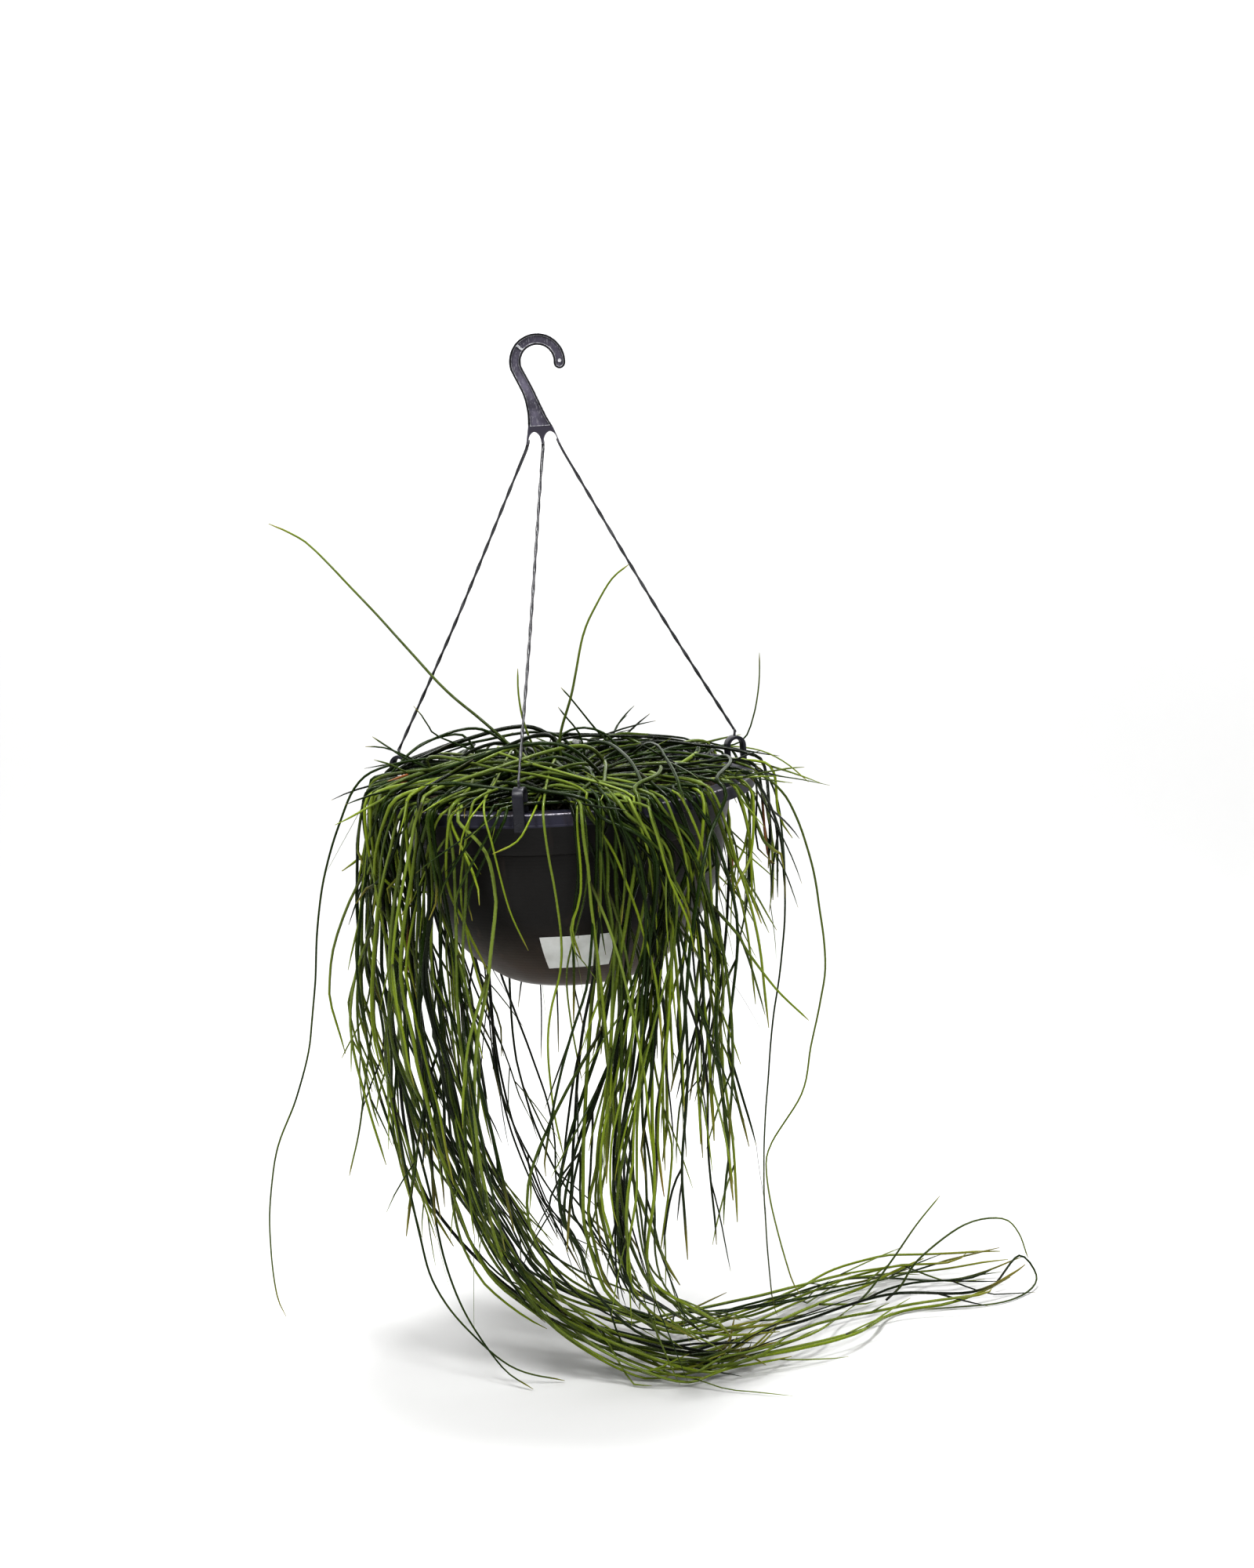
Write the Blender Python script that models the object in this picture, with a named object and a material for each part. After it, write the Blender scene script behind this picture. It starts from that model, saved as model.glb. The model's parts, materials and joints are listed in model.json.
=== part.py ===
"""A rhipsalis in a hanging bowl pot, in metres, +Z up.

The origin is the point of the hook that a rail or a ring bears on. The hanger, the pot and the soil
are built upright under it, then turned together by HANG_TILT, because the plant is heavier on its left.
The stems root in the tilted soil and are placed in the world. Azimuths are measured round the pot's
axis from the front (-Y) towards the right (+X).
"""

import math
from typing import NamedTuple

import bmesh
import bpy
from mathutils import Matrix, Vector

# Hanging assembly
HANG_TILT = math.radians(-3.6)
TOUCH_GAP = 0.0003

# Hook: a flat moulding that lies in the XZ plane
HOOK_INNER_RADIUS = 0.0112
HOOK_OUTER_RADIUS = 0.0194
HOOK_THICKNESS = 0.0050
HOOK_WEB_RECESS = 0.0013
HOOK_EDGE_RIB = 0.0016
HOOK_TIP_ANGLE = math.radians(-6)
HOOK_SHANK_ANGLE = math.radians(195)
# The shank's two edges below the crook, as (x, z) from the crook's centre
SHANK_LEFT = [(-0.0152, -0.0130), (-0.0109, -0.0226), (-0.0090, -0.0350)]
SHANK_RIGHT = [(0.0041, -0.0378), (-0.0043, -0.0169), (-0.0093, -0.0063)]
RECESS_BOTTOM = -0.0435
RECESS_SPAN = (-0.0092, 0.0072)
YOKE_SHOULDERS = ((-0.0094, -0.0440), (0.0080, -0.0450))
YOKE_BOTTOM = -0.0500
YOKE_SCALLOP_DEPTH = 0.0022
YOKE_SCALLOP_HALF = 0.0018
YOKE_EXITS = (-0.0090, 0.0, 0.0090)
YOKE_EXIT_HALF = 0.0014

# Pot: heights are above its base
RIM_DROP = 0.3030
POT_HEIGHT = 0.1360
RIM_RADIUS = 0.1330
RIM_BAND = 0.0090
WALL = 0.0016
BASE_RADIUS = 0.0500
BOWL_RADIUS = 0.1100
BOWL_TOP = 0.1035
STEP_OUT = 0.0015
STEP_HEIGHT = 0.0010
COLLAR_TOP_RADIUS = 0.1185
FLANGE_THICKNESS = 0.0020
RIM_EDGE_ROUND = 0.0008
POT_SIDES = 48
BOWL_STEPS = 7
BOWL_RINGS = {"low": (0, 2), "middle": (2, 4), "upper": (4, 5), "top": (5, BOWL_STEPS)}

# Soil
SOIL_EDGE_HEIGHT = 0.1215
SOIL_CENTRE_HEIGHT = 0.1275

# Label
LABEL_AZIMUTHS = (-13.0, 18.0)
LABEL_HEIGHTS = (0.0190, 0.0450)
LABEL_THICKNESS = 0.0003
LABEL_COLUMNS = 6
LABEL_ROWS = 4

# Strands and the clips that grip the rim
STRAND_RADIUS = 0.0012
CLIP_WIDTH = 0.0077
CLIP_THICKNESS = 0.0024
CLIP_ARCH_TOP = 0.0182
CLIP_ARCH_RADIUS = 0.0072
CLIP_HOOK_THICKNESS = 0.0020
CLIP_HOOK_OVERLAP = 0.0006
CLIP_AZIMUTHS = {"left": -112.0, "front": -12.0, "right": 109.0}

# Stems
FLOOR = -0.7200
HANG_RADIUS = 0.1425
LOCK_SIDES = 6
LOCK_HALF_THICKNESS = 0.0048
LOCK_STEP = 0.0260
SECTOR_FILL = 0.80
# The locks root in two rings by turns: (radius, height of the crest over the rim)
ROOT_ROWS = ((0.048, 0.020), (0.076, 0.015))
ROOT_RISE = 0.008
FREE_FALL_START = -0.40
LAID_HEIGHT = 0.030
LANE_SPACING = 0.0119
LANE_HALF_WIDTH = 0.0043
LANE_HALF_HEIGHT = 0.0060
LANDING_REACH = 0.160
TRESS_HALF_SPACING = 0.0085
STRAY_STEP = 0.022

POT_BASE = -(RIM_DROP + POT_HEIGHT)
TILT = Matrix.Rotation(HANG_TILT, 4, "Y")


class Lock(NamedTuple):
    """A lock of stems that leaves the soil in one sector of the pot and hangs over the rim."""

    name: str
    azimuth: float
    sector: float
    root_radius: float
    crest: float
    low_route: list


class Stray(NamedTuple):
    """A single stem that stands or hangs clear of the locks."""

    radius: float
    root_radius: float
    root_azimuth: float
    route: list


# ---------------------------------------------------------------- helpers


def clear_scene():
    for obj in list(bpy.data.objects):
        bpy.data.objects.remove(obj, do_unlink=True)


def principled(name, colour, roughness, metallic=0.0):
    material = bpy.data.materials.new(name)
    material.use_nodes = True
    shader = material.node_tree.nodes["Principled BSDF"]
    shader.inputs["Base Color"].default_value = (*colour, 1.0)
    shader.inputs["Roughness"].default_value = roughness
    shader.inputs["Metallic"].default_value = metallic
    return material


def add_object(name, data, material, parent=None):
    obj = bpy.data.objects.new(name, data)
    obj.data.materials.append(material)
    obj.parent = parent
    bpy.context.scene.collection.objects.link(obj)
    return obj


def smooth_round(mesh):
    mesh.shade_smooth()
    mesh.set_sharp_from_angle(angle=math.radians(40))


def mesh_from(bm, name):
    bmesh.ops.recalc_face_normals(bm, faces=bm.faces)
    mesh = bpy.data.meshes.new(name)
    bm.to_mesh(mesh)
    bm.free()
    smooth_round(mesh)
    return mesh


def turned(name, profile, sides):
    """A solid of revolution from a (radius, height) outline: a ring, unless the outline starts on the axis."""
    bm = bmesh.new()
    points = [bm.verts.new((radius, 0.0, height)) for radius, height in profile]
    on_axis = profile[0][0] == 0.0
    ends = points[1:] if on_axis else [*points[1:], points[0]]
    edges = [bm.edges.new(pair) for pair in zip(points, ends)]
    bmesh.ops.spin(
        bm, geom=points + edges, cent=(0, 0, 0), axis=(0, 0, 1), angle=math.tau, steps=sides,
        use_merge=True,
    )
    bmesh.ops.remove_doubles(bm, verts=bm.verts, dist=1e-6)
    return mesh_from(bm, name)


def loft(name, rings):
    """A closed skin through rings of equal count, capped at both ends."""
    bm = bmesh.new()
    loops = [[bm.verts.new(point) for point in ring] for ring in rings]
    for low, high in zip(loops, loops[1:]):
        for k in range(len(low)):
            after = (k + 1) % len(low)
            bm.faces.new((low[k], low[after], high[after], high[k]))
    bm.faces.new(loops[0])
    bm.faces.new(loops[-1])
    return mesh_from(bm, name)


def extruded(name, outline, depth):
    """An outline in the XZ plane, given depth along Y about its middle."""
    bm = bmesh.new()
    front = [bm.verts.new((x, -depth / 2, z)) for x, z in outline]
    face = bm.faces.new(front)
    pushed = bmesh.ops.extrude_face_region(bm, geom=[face])["geom"]
    moved = [item for item in pushed if isinstance(item, bmesh.types.BMVert)]
    bmesh.ops.translate(bm, verts=moved, vec=(0, depth, 0))
    return mesh_from(bm, name)


def curve_through(points, step):
    """Points about step apart on the smooth Catmull-Rom curve through the given points."""
    knots = [Vector(p) for p in points]
    knots = [2 * knots[0] - knots[1], *knots, 2 * knots[-1] - knots[-2]]
    found = []
    for a, b, c, d in zip(knots, knots[1:], knots[2:], knots[3:]):
        pieces = max(1, round((c - b).length / step))
        for k in range(pieces):
            t = k / pieces
            found.append(
                0.5 * (2 * b + (c - a) * t + (2 * a - 5 * b + 4 * c - d) * t**2
                       + (3 * b - a - 3 * c + d) * t**3)
            )
    return [*found, knots[-2]]


def round_tube(name, points, radii, material, sides_step, parent=None):
    """A tube with filled ends along the points, whose radius runs evenly through the radii."""
    data = bpy.data.curves.new(name, "CURVE")
    data.dimensions = "3D"
    data.bevel_depth = 1.0
    data.bevel_resolution = sides_step
    data.use_fill_caps = True
    spline = data.splines.new("POLY")
    spline.points.add(len(points) - 1)
    last = len(points) - 1
    for k, (target, point) in enumerate(zip(spline.points, points)):
        place = k / last * (len(radii) - 1)
        low = min(int(place), len(radii) - 2)
        target.co = (*point, 1.0)
        target.radius = radii[low] + (radii[low + 1] - radii[low]) * (place - low)
    return add_object(name, data, material, parent)


def around(radius, azimuth, height):
    """A point of the upright hanging frame, by its azimuth in degrees."""
    turn = math.radians(azimuth)
    return Vector((radius * math.sin(turn), -radius * math.cos(turn), height))


# ---------------------------------------------------------------- hanger


def arc(radius, start, end, count, centre=(0.0, 0.0)):
    angles = [start + (end - start) * k / (count - 1) for k in range(count)]
    return [(centre[0] + radius * math.cos(a), centre[1] + radius * math.sin(a)) for a in angles]


def hook_outline(inset):
    """The hook's outline about the crook's centre, drawn inwards by inset."""
    inner, outer = HOOK_INNER_RADIUS + inset, HOOK_OUTER_RADIUS - inset
    middle, half = (inner + outer) / 2, (outer - inner) / 2
    tip = (middle * math.cos(HOOK_TIP_ANGLE), middle * math.sin(HOOK_TIP_ANGLE))
    tip_round = arc(half, HOOK_TIP_ANGLE - math.pi + 0.35, HOOK_TIP_ANGLE - 0.35, 5, tip)
    return [
        *arc(outer, HOOK_TIP_ANGLE, HOOK_SHANK_ANGLE, 16),
        *[(x + inset, z) for x, z in SHANK_LEFT],
        *yoke_bottom(inset),
        *[(x - inset, z) for x, z in SHANK_RIGHT],
        *arc(inner, HOOK_SHANK_ANGLE, HOOK_TIP_ANGLE, 14),
        *tip_round,
    ]


def yoke_bottom(inset):
    """The lower edge of the yoke, left to right: three exits with a scallop between them."""
    if inset:
        left, right = RECESS_SPAN
        return [(left + inset, RECESS_BOTTOM), (right - inset, RECESS_BOTTOM)]
    scallop_top = YOKE_BOTTOM + YOKE_SCALLOP_DEPTH
    edge = [YOKE_SHOULDERS[0]]
    for k, exit_x in enumerate(YOKE_EXITS):
        edge += [(exit_x - YOKE_EXIT_HALF, YOKE_BOTTOM), (exit_x + YOKE_EXIT_HALF, YOKE_BOTTOM)]
        if k < len(YOKE_EXITS) - 1:
            middle = (exit_x + YOKE_EXITS[k + 1]) / 2
            edge.append((middle - YOKE_SCALLOP_HALF, scallop_top))
            edge.append((middle + YOKE_SCALLOP_HALF, scallop_top))
    return [*edge, YOKE_SHOULDERS[1]]


def make_hook(material, parent):
    """The hook and yoke, with a web that is recessed on both faces between edge ribs."""
    hook = add_object(
        "hanger_hook", extruded("hanger_hook", hook_outline(0.0), HOOK_THICKNESS), material, parent
    )
    hook.location.z = -HOOK_INNER_RADIUS
    for side in (-1, 1):
        name = f"hook_recess_cutter_{'front' if side < 0 else 'back'}"
        cutter = add_object(
            name, extruded(name, hook_outline(HOOK_EDGE_RIB), HOOK_WEB_RECESS * 2), material, parent
        )
        cutter.location = (0, side * HOOK_THICKNESS / 2, -HOOK_INNER_RADIUS)
        cutter.hide_render = True
        cutter.display_type = "WIRE"
        cut = hook.modifiers.new(name, "BOOLEAN")
        cut.operation = "DIFFERENCE"
        cut.object = cutter
        cut.solver = "EXACT"


def arch_middle_radius():
    """The distance of the clip arch's middle from the pot's axis."""
    return RIM_RADIUS + TOUCH_GAP + CLIP_THICKNESS - CLIP_ARCH_RADIUS


def clip_outline():
    """The clip's side view as (radius, height above the pot's base): an arch whose inner foot stands
    on the flange and whose outer leg hooks under the band."""
    outer_leg = RIM_RADIUS + TOUCH_GAP
    inner_leg = arch_middle_radius() - CLIP_ARCH_RADIUS
    foot = POT_HEIGHT + TOUCH_GAP
    hook_tip = RIM_RADIUS - WALL - CLIP_HOOK_OVERLAP
    hook_top = POT_HEIGHT - RIM_BAND - TOUCH_GAP
    hook_bottom = hook_top - CLIP_HOOK_THICKNESS
    centre = (arch_middle_radius(), POT_HEIGHT + CLIP_ARCH_TOP - CLIP_ARCH_RADIUS)
    return [
        (hook_tip, hook_top),
        (hook_tip, hook_bottom),
        (outer_leg + CLIP_THICKNESS, hook_bottom),
        *arc(CLIP_ARCH_RADIUS, 0.0, math.pi, 9, centre),
        (inner_leg, foot),
        (inner_leg + CLIP_THICKNESS, foot),
        *arc(CLIP_ARCH_RADIUS - CLIP_THICKNESS, math.pi, 0.0, 7, centre),
        (outer_leg, hook_top),
    ]


def make_clip(side, azimuth, material, parent):
    name = f"rim_clip_{side}"
    clip = add_object(name, extruded(name, clip_outline(), CLIP_WIDTH), material, parent)
    clip.location.z = POT_BASE
    clip.rotation_euler.z = math.radians(azimuth - 90)


def make_strand(side, azimuth, exit_x, material, parent):
    """One strand, which leaves the yoke and reaches its clip upright."""
    start = -HOOK_INNER_RADIUS + YOKE_BOTTOM - TOUCH_GAP
    end = POT_BASE + POT_HEIGHT + CLIP_ARCH_TOP + 1.3 * TOUCH_GAP
    arch_radius = arch_middle_radius()
    top = Vector((exit_x, 0, start))
    foot = around(arch_radius, azimuth, end)
    route = [
        top,
        top - Vector((0, 0, 0.006)),
        top.lerp(foot, 0.14) - Vector((0, 0, 0.005)),
        top.lerp(foot, 0.55) - Vector((0, 0, 0.003)),
        around(arch_radius - 0.0045, azimuth, end + 0.012),
        foot + Vector((0, 0, 0.004)),
        foot,
    ]
    radii = [STRAND_RADIUS * 1.1, STRAND_RADIUS, STRAND_RADIUS]
    round_tube(f"hanger_strand_{side}", curve_through(route, 0.022), radii, material, 1, parent)


def make_hanger(parent):
    material = principled("anthracite_moulding", (0.030, 0.032, 0.045), 0.32)
    make_hook(material, parent)
    for (side, azimuth), exit_x in zip(CLIP_AZIMUTHS.items(), YOKE_EXITS):
        make_strand(side, azimuth, exit_x, material, parent)
        make_clip(side, azimuth, material, parent)


# ---------------------------------------------------------------- pot, soil and label


def bowl_radius(height, inset=0.0):
    """The bowl's radius at a height, where the bowl is an elliptical arc from the base to the step."""
    base_share = BASE_RADIUS / BOWL_RADIUS
    depth = BOWL_TOP / math.sqrt(1 - base_share**2)
    return BOWL_RADIUS * math.sqrt(1 - ((BOWL_TOP - height) / depth) ** 2) - inset


def bowl_heights(low, high, count):
    """Heights that are closer together near the base, where the bowl turns most."""
    return [low + (high - low) * (k / count) ** 1.5 for k in range(count + 1)]


def collar_radius(height, inset=0.0):
    low, top = BOWL_TOP + STEP_HEIGHT, POT_HEIGHT - FLANGE_THICKNESS
    share = (height - low) / (top - low)
    start = BOWL_RADIUS + STEP_OUT
    return start + (COLLAR_TOP_RADIUS - start) * share - inset


def base_profile():
    """The flat disc that the bowl rises from."""
    return [(0.0, 0.0), (BASE_RADIUS, 0.0), (bowl_radius(WALL), WALL), (0.0, WALL)]


def bowl_ring_profile(first, last):
    """The bowl's wall from one of its levels to another."""
    levels = bowl_heights(WALL, BOWL_TOP, BOWL_STEPS)
    rows = [levels[first] + TOUCH_GAP, *levels[first + 1:last + 1]]
    outside = [(bowl_radius(h), h) for h in rows]
    inside = [(bowl_radius(h, WALL), h) for h in rows]
    return [*outside, *reversed(inside)]


def collar_profile():
    """The collar: a small step outwards from the bowl, then a wall that flares to the flange."""
    low = BOWL_TOP + TOUCH_GAP
    step = BOWL_TOP + STEP_HEIGHT
    top = POT_HEIGHT - FLANGE_THICKNESS - TOUCH_GAP
    return [
        (BOWL_RADIUS - WALL, low),
        (BOWL_RADIUS, low),
        (collar_radius(step), step),
        (collar_radius(top), top),
        (collar_radius(top, WALL), top),
        (collar_radius(step, WALL), step),
    ]


def flange_profile():
    """The flat ring on top of the collar, which carries the band."""
    under = POT_HEIGHT - FLANGE_THICKNESS
    edge = RIM_RADIUS - WALL - TOUCH_GAP
    return [
        (collar_radius(under, WALL), under),
        (edge, under),
        (edge, POT_HEIGHT),
        (collar_radius(POT_HEIGHT, WALL), POT_HEIGHT),
    ]


def band_profile():
    """The rim's upright band, whose lower edge hangs free for the clips to hook under."""
    skirt = POT_HEIGHT - RIM_BAND
    return [
        (RIM_RADIUS - WALL, skirt),
        (RIM_RADIUS, skirt),
        (RIM_RADIUS, POT_HEIGHT - RIM_EDGE_ROUND),
        (RIM_RADIUS - RIM_EDGE_ROUND, POT_HEIGHT),
        (RIM_RADIUS - WALL, POT_HEIGHT),
    ]


def soil_profile():
    """The soil fills the pot's inside, a touching gap away from the wall, with a low domed top."""
    inset = WALL + TOUCH_GAP
    low = WALL + TOUCH_GAP
    wall = [(bowl_radius(h, inset * 1.2), h) for h in bowl_heights(low, BOWL_TOP, BOWL_STEPS)]
    return [
        (0.0, low),
        *wall,
        (collar_radius(SOIL_EDGE_HEIGHT, inset), SOIL_EDGE_HEIGHT),
        (0.06, 0.5 * (SOIL_EDGE_HEIGHT + SOIL_CENTRE_HEIGHT)),
        (0.0, SOIL_CENTRE_HEIGHT),
    ]


def label_ring(height, offset):
    """One row of the label's points at a height, offset outwards from the bowl."""
    first, last = LABEL_AZIMUTHS
    span = (last - first) / LABEL_COLUMNS
    return [
        around(bowl_radius(height) + offset, first + span * k, height)
        for k in range(LABEL_COLUMNS + 1)
    ]


def make_label(parent):
    """A plain white label, bent round the lower front of the bowl."""
    low, high = LABEL_HEIGHTS
    rings = []
    for k in range(LABEL_ROWS + 1):
        height = low + (high - low) * k / LABEL_ROWS
        inside = label_ring(height, TOUCH_GAP)
        outside = label_ring(height, TOUCH_GAP + LABEL_THICKNESS)
        rings.append(inside + outside[::-1])
    paper = principled("label_paper", (0.80, 0.81, 0.80), 0.45)
    label = add_object("label", loft("label", rings), paper, parent)
    label.location.z = POT_BASE


def make_pot(parent):
    """The pot, in simple shells that each keep a touching gap to the next, so the space under the rim is open."""
    material = principled("pot_plastic", (0.022, 0.021, 0.022), 0.38)
    profiles = {
        "pot_base": base_profile(),
        **{f"pot_bowl_{name}": bowl_ring_profile(*levels) for name, levels in BOWL_RINGS.items()},
        "pot_collar": collar_profile(),
        "pot_flange": flange_profile(),
        "pot_band": band_profile(),
    }
    for name, profile in profiles.items():
        shell = add_object(name, turned(name, profile, POT_SIDES), material, parent)
        shell.location.z = POT_BASE


def make_soil(parent):
    material = principled("potting_soil", (0.028, 0.018, 0.011), 0.95)
    soil = add_object("soil", turned("soil", soil_profile(), POT_SIDES), material, parent)
    soil.location.z = POT_BASE


# ---------------------------------------------------------------- stems

# The sweep of the long stems along the floor, seen from above, as (x, y)
SWEEP = [(0.060, -0.034), (0.130, -0.014), (0.200, 0.026), (0.265, 0.078), (0.325, 0.122), (0.380, 0.148)]
# How a long lock leaves its fall: (how far to the right, height, share of the way to its lane)
BEND = [(0.000, -0.480, 0.00), (0.014, -0.560, 0.30), (0.040, -0.625, 0.60), (0.082, -0.676, 0.86)]
# The tress at the front lies on the floor sweep
FRONT_TRESS = [
    (0.055, -0.132, -0.550), (0.068, -0.112, -0.612), (0.090, -0.088, -0.652),
    (0.130, -0.048, -0.688), (0.178, -0.006, -0.697), (0.238, 0.042, -0.697), (0.300, 0.090, -0.699),
]
# A thin lock from the back of the pot that joins the sweep at its back
BACK_TRESS = [
    (-0.046, 0.118, -0.440), (-0.026, 0.106, -0.540), (0.000, 0.088, -0.605), (0.032, 0.066, -0.660),
    (0.072, 0.048, -0.699), (0.120, 0.047, -0.712), (0.175, 0.074, -0.713),
]

# Single stems, with their routes from just over the soil to the tip
STRAYS = {
    "up_left": Stray(0.0013, 0.0150, -114.0, [
        (-0.008, 0.010, -0.290), (-0.040, 0.014, -0.262),
        (-0.070, 0.016, -0.236), (-0.118, 0.020, -0.183), (-0.155, 0.020, -0.143),
        (-0.172, 0.020, -0.131), (-0.188, 0.020, -0.1235),
    ]),
    "up_short": Stray(0.0012, 0.0125, -37.0, [
        (0.002, -0.012, -0.287), (-0.009, -0.012, -0.262),
        (-0.013, -0.012, -0.240), (-0.0135, -0.012, -0.222),
    ]),
    "up_middle": Stray(0.0012, 0.0040, 0.0, [
        (0.015, -0.002, -0.272), (0.024, -0.004, -0.238),
        (0.032, -0.006, -0.200), (0.041, -0.008, -0.178), (0.052, -0.010, -0.159),
        (0.0635, -0.012, -0.149),
    ]),
    "up_right": Stray(0.0011, 0.0175, 143.0, [
        (0.045, 0.022, -0.275), (0.080, 0.040, -0.255),
        (0.120, 0.056, -0.2545), (0.1465, 0.060, -0.2575), (0.1560, 0.060, -0.242),
        (0.1575, 0.060, -0.2196),
    ]),
    "far_left": Stray(0.0012, 0.0262, -77.0, [
        (-0.026, -0.008, -0.281), (-0.072, -0.010, -0.269),
        (-0.116, -0.012, -0.281), (-0.136, -0.012, -0.302), (-0.1420, -0.012, -0.334),
        (-0.151, -0.012, -0.3705), (-0.156, -0.012, -0.404), (-0.158, -0.012, -0.444),
        (-0.163, -0.012, -0.490), (-0.1735, -0.012, -0.530), (-0.187, -0.012, -0.565),
        (-0.1935, -0.012, -0.605), (-0.1935, -0.012, -0.640), (-0.190, -0.012, -0.676),
        (-0.184, -0.012, -0.692),
    ]),
    "far_right": Stray(0.0012, 0.0157, 67.0, [
        (0.060, -0.008, -0.268), (0.105, -0.010, -0.254),
        (0.150, -0.012, -0.265), (0.170, -0.012, -0.287), (0.180, -0.012, -0.318),
        (0.190, -0.012, -0.355), (0.197, -0.012, -0.389), (0.2025, -0.012, -0.429),
        (0.1995, -0.012, -0.458), (0.193, -0.012, -0.492), (0.1865, -0.012, -0.527),
        (0.166, -0.012, -0.562), (0.162, -0.012, -0.585), (0.168, -0.012, -0.620),
        (0.180, -0.012, -0.662), (0.1885, -0.012, -0.677),
    ]),
    "straight_right": Stray(0.0011, 0.0170, 104.0, [
        (0.062, 0.008, -0.262), (0.108, 0.014, -0.247),
        (0.152, 0.018, -0.260), (0.1725, 0.020, -0.290), (0.1760, 0.020, -0.340),
        (0.1745, 0.020, -0.420), (0.165, 0.015, -0.500), (0.161, 0.010, -0.580),
        (0.163, 0.010, -0.640), (0.168, 0.010, -0.685), (0.172, 0.010, -0.699),
    ]),
    "out_right": Stray(0.0011, 0.0180, 172.0, [
        (0.040, 0.036, -0.272), (0.070, 0.062, -0.250),
        (0.120, 0.080, -0.250), (0.160, 0.088, -0.272), (0.180, 0.090, -0.294),
        (0.195, 0.090, -0.318),
    ]),
}


def sweep_side(k):
    """The level direction across the sweep at its k-th point, towards the back."""
    before = Vector(SWEEP[max(k - 1, 0)])
    after = Vector(SWEEP[min(k + 1, len(SWEEP) - 1)])
    along = (after - before).normalized()
    return Vector((-along.y, along.x, 0))


def lane_route(azimuth, lane, sweep_points):
    """The lower route of a long lock, which bends to the right and lies in its lane of the sweep."""
    fall = around(HANG_RADIUS, azimuth, 0) + pot_axis(-0.48)
    level = FLOOR + LANE_HALF_HEIGHT + TOUCH_GAP
    offset = lane * LANE_SPACING
    (entry_x, entry_y), (next_x, next_y) = SWEEP[:2]
    slope = (next_y - entry_y) / (next_x - entry_x)
    landing_x = fall.x + LANDING_REACH
    landing_y = entry_y + slope * (landing_x - entry_x) + offset
    route = [
        Vector((fall.x + right, fall.y + (landing_y - fall.y) * share, height))
        for right, height, share in BEND
    ]
    route.append(Vector((landing_x, landing_y, level + 0.004)))
    for k, (x, y) in list(enumerate(SWEEP))[1:sweep_points]:
        route.append(Vector((x, y, level)) + sweep_side(k) * offset)
    return route


def beside(route, distance):
    """The route moved to its right-hand side, on the level."""
    moved = []
    for k, point in enumerate(route):
        ahead = Vector(route[min(k + 1, len(route) - 1)]) - Vector(route[max(k - 1, 0)])
        side = Vector((ahead.y, -ahead.x, 0)).normalized()
        moved.append(Vector(point) + side * distance)
    return moved


def falling_route(azimuth, tip_height, lean=(0.0, 0.0)):
    """The lower route of a lock that ends in the air, leaning a little as it falls."""
    start = around(HANG_RADIUS, azimuth, 0) + pot_axis(FREE_FALL_START)
    route = []
    for share in (0.0, 0.34, 0.67, 1.0):
        height = FREE_FALL_START + (tip_height - FREE_FALL_START) * share
        route.append(start + Vector((lean[0] * share**2, lean[1] * share**2, height)))
    return route if tip_height < FREE_FALL_START else route[-1:]


def pot_axis(height):
    """The point of the tilted pot's axis at a height, without the height."""
    return Vector((height * math.tan(HANG_TILT), 0, 0))


def rooted(radius, azimuth):
    """The first two points of a stem: its seat on the soil, and one straight over it."""
    seat = POT_BASE + soil_height(radius) + 2 * TOUCH_GAP
    return [TILT @ around(radius, azimuth, seat + rise) for rise in (0.0, ROOT_RISE)]


def over_rim(lock):
    """The upper route of a lock: out of the soil, over the crest and across the rim."""
    rim = POT_BASE + POT_HEIGHT
    crest_radius = (lock.root_radius + RIM_RADIUS) / 2
    bend = [
        around(crest_radius, lock.azimuth, rim + lock.crest),
        around(RIM_RADIUS - 0.004, lock.azimuth, rim + 0.012),
        around(RIM_RADIUS + 0.0085, lock.azimuth, rim - 0.001),
        around(HANG_RADIUS, lock.azimuth, rim - 0.030),
    ]
    return [*rooted(lock.root_radius, lock.azimuth), *[TILT @ point for point in bend]]


def soil_height(radius):
    """The soil's height above the pot's base at a radius, on its faceted dome."""
    middle = 0.5 * (SOIL_EDGE_HEIGHT + SOIL_CENTRE_HEIGHT)
    if radius < 0.06:
        return SOIL_CENTRE_HEIGHT + (middle - SOIL_CENTRE_HEIGHT) * radius / 0.06
    edge = collar_radius(SOIL_EDGE_HEIGHT, WALL + TOUCH_GAP)
    return middle + (SOIL_EDGE_HEIGHT - middle) * (radius - 0.06) / (edge - 0.06)


def lock_half_width(point, sector):
    """Half the width that a lock takes of its sector, so that it stays clear of its neighbours."""
    radius = math.hypot(point.x - point.z * math.tan(HANG_TILT), point.y)
    return 0.5 * SECTOR_FILL * math.radians(sector) * min(radius, HANG_RADIUS)


def ease(value, low, high):
    share = min(max((value - low) / (high - low), 0.0), 1.0)
    return share * share * (3 - 2 * share)


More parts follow.
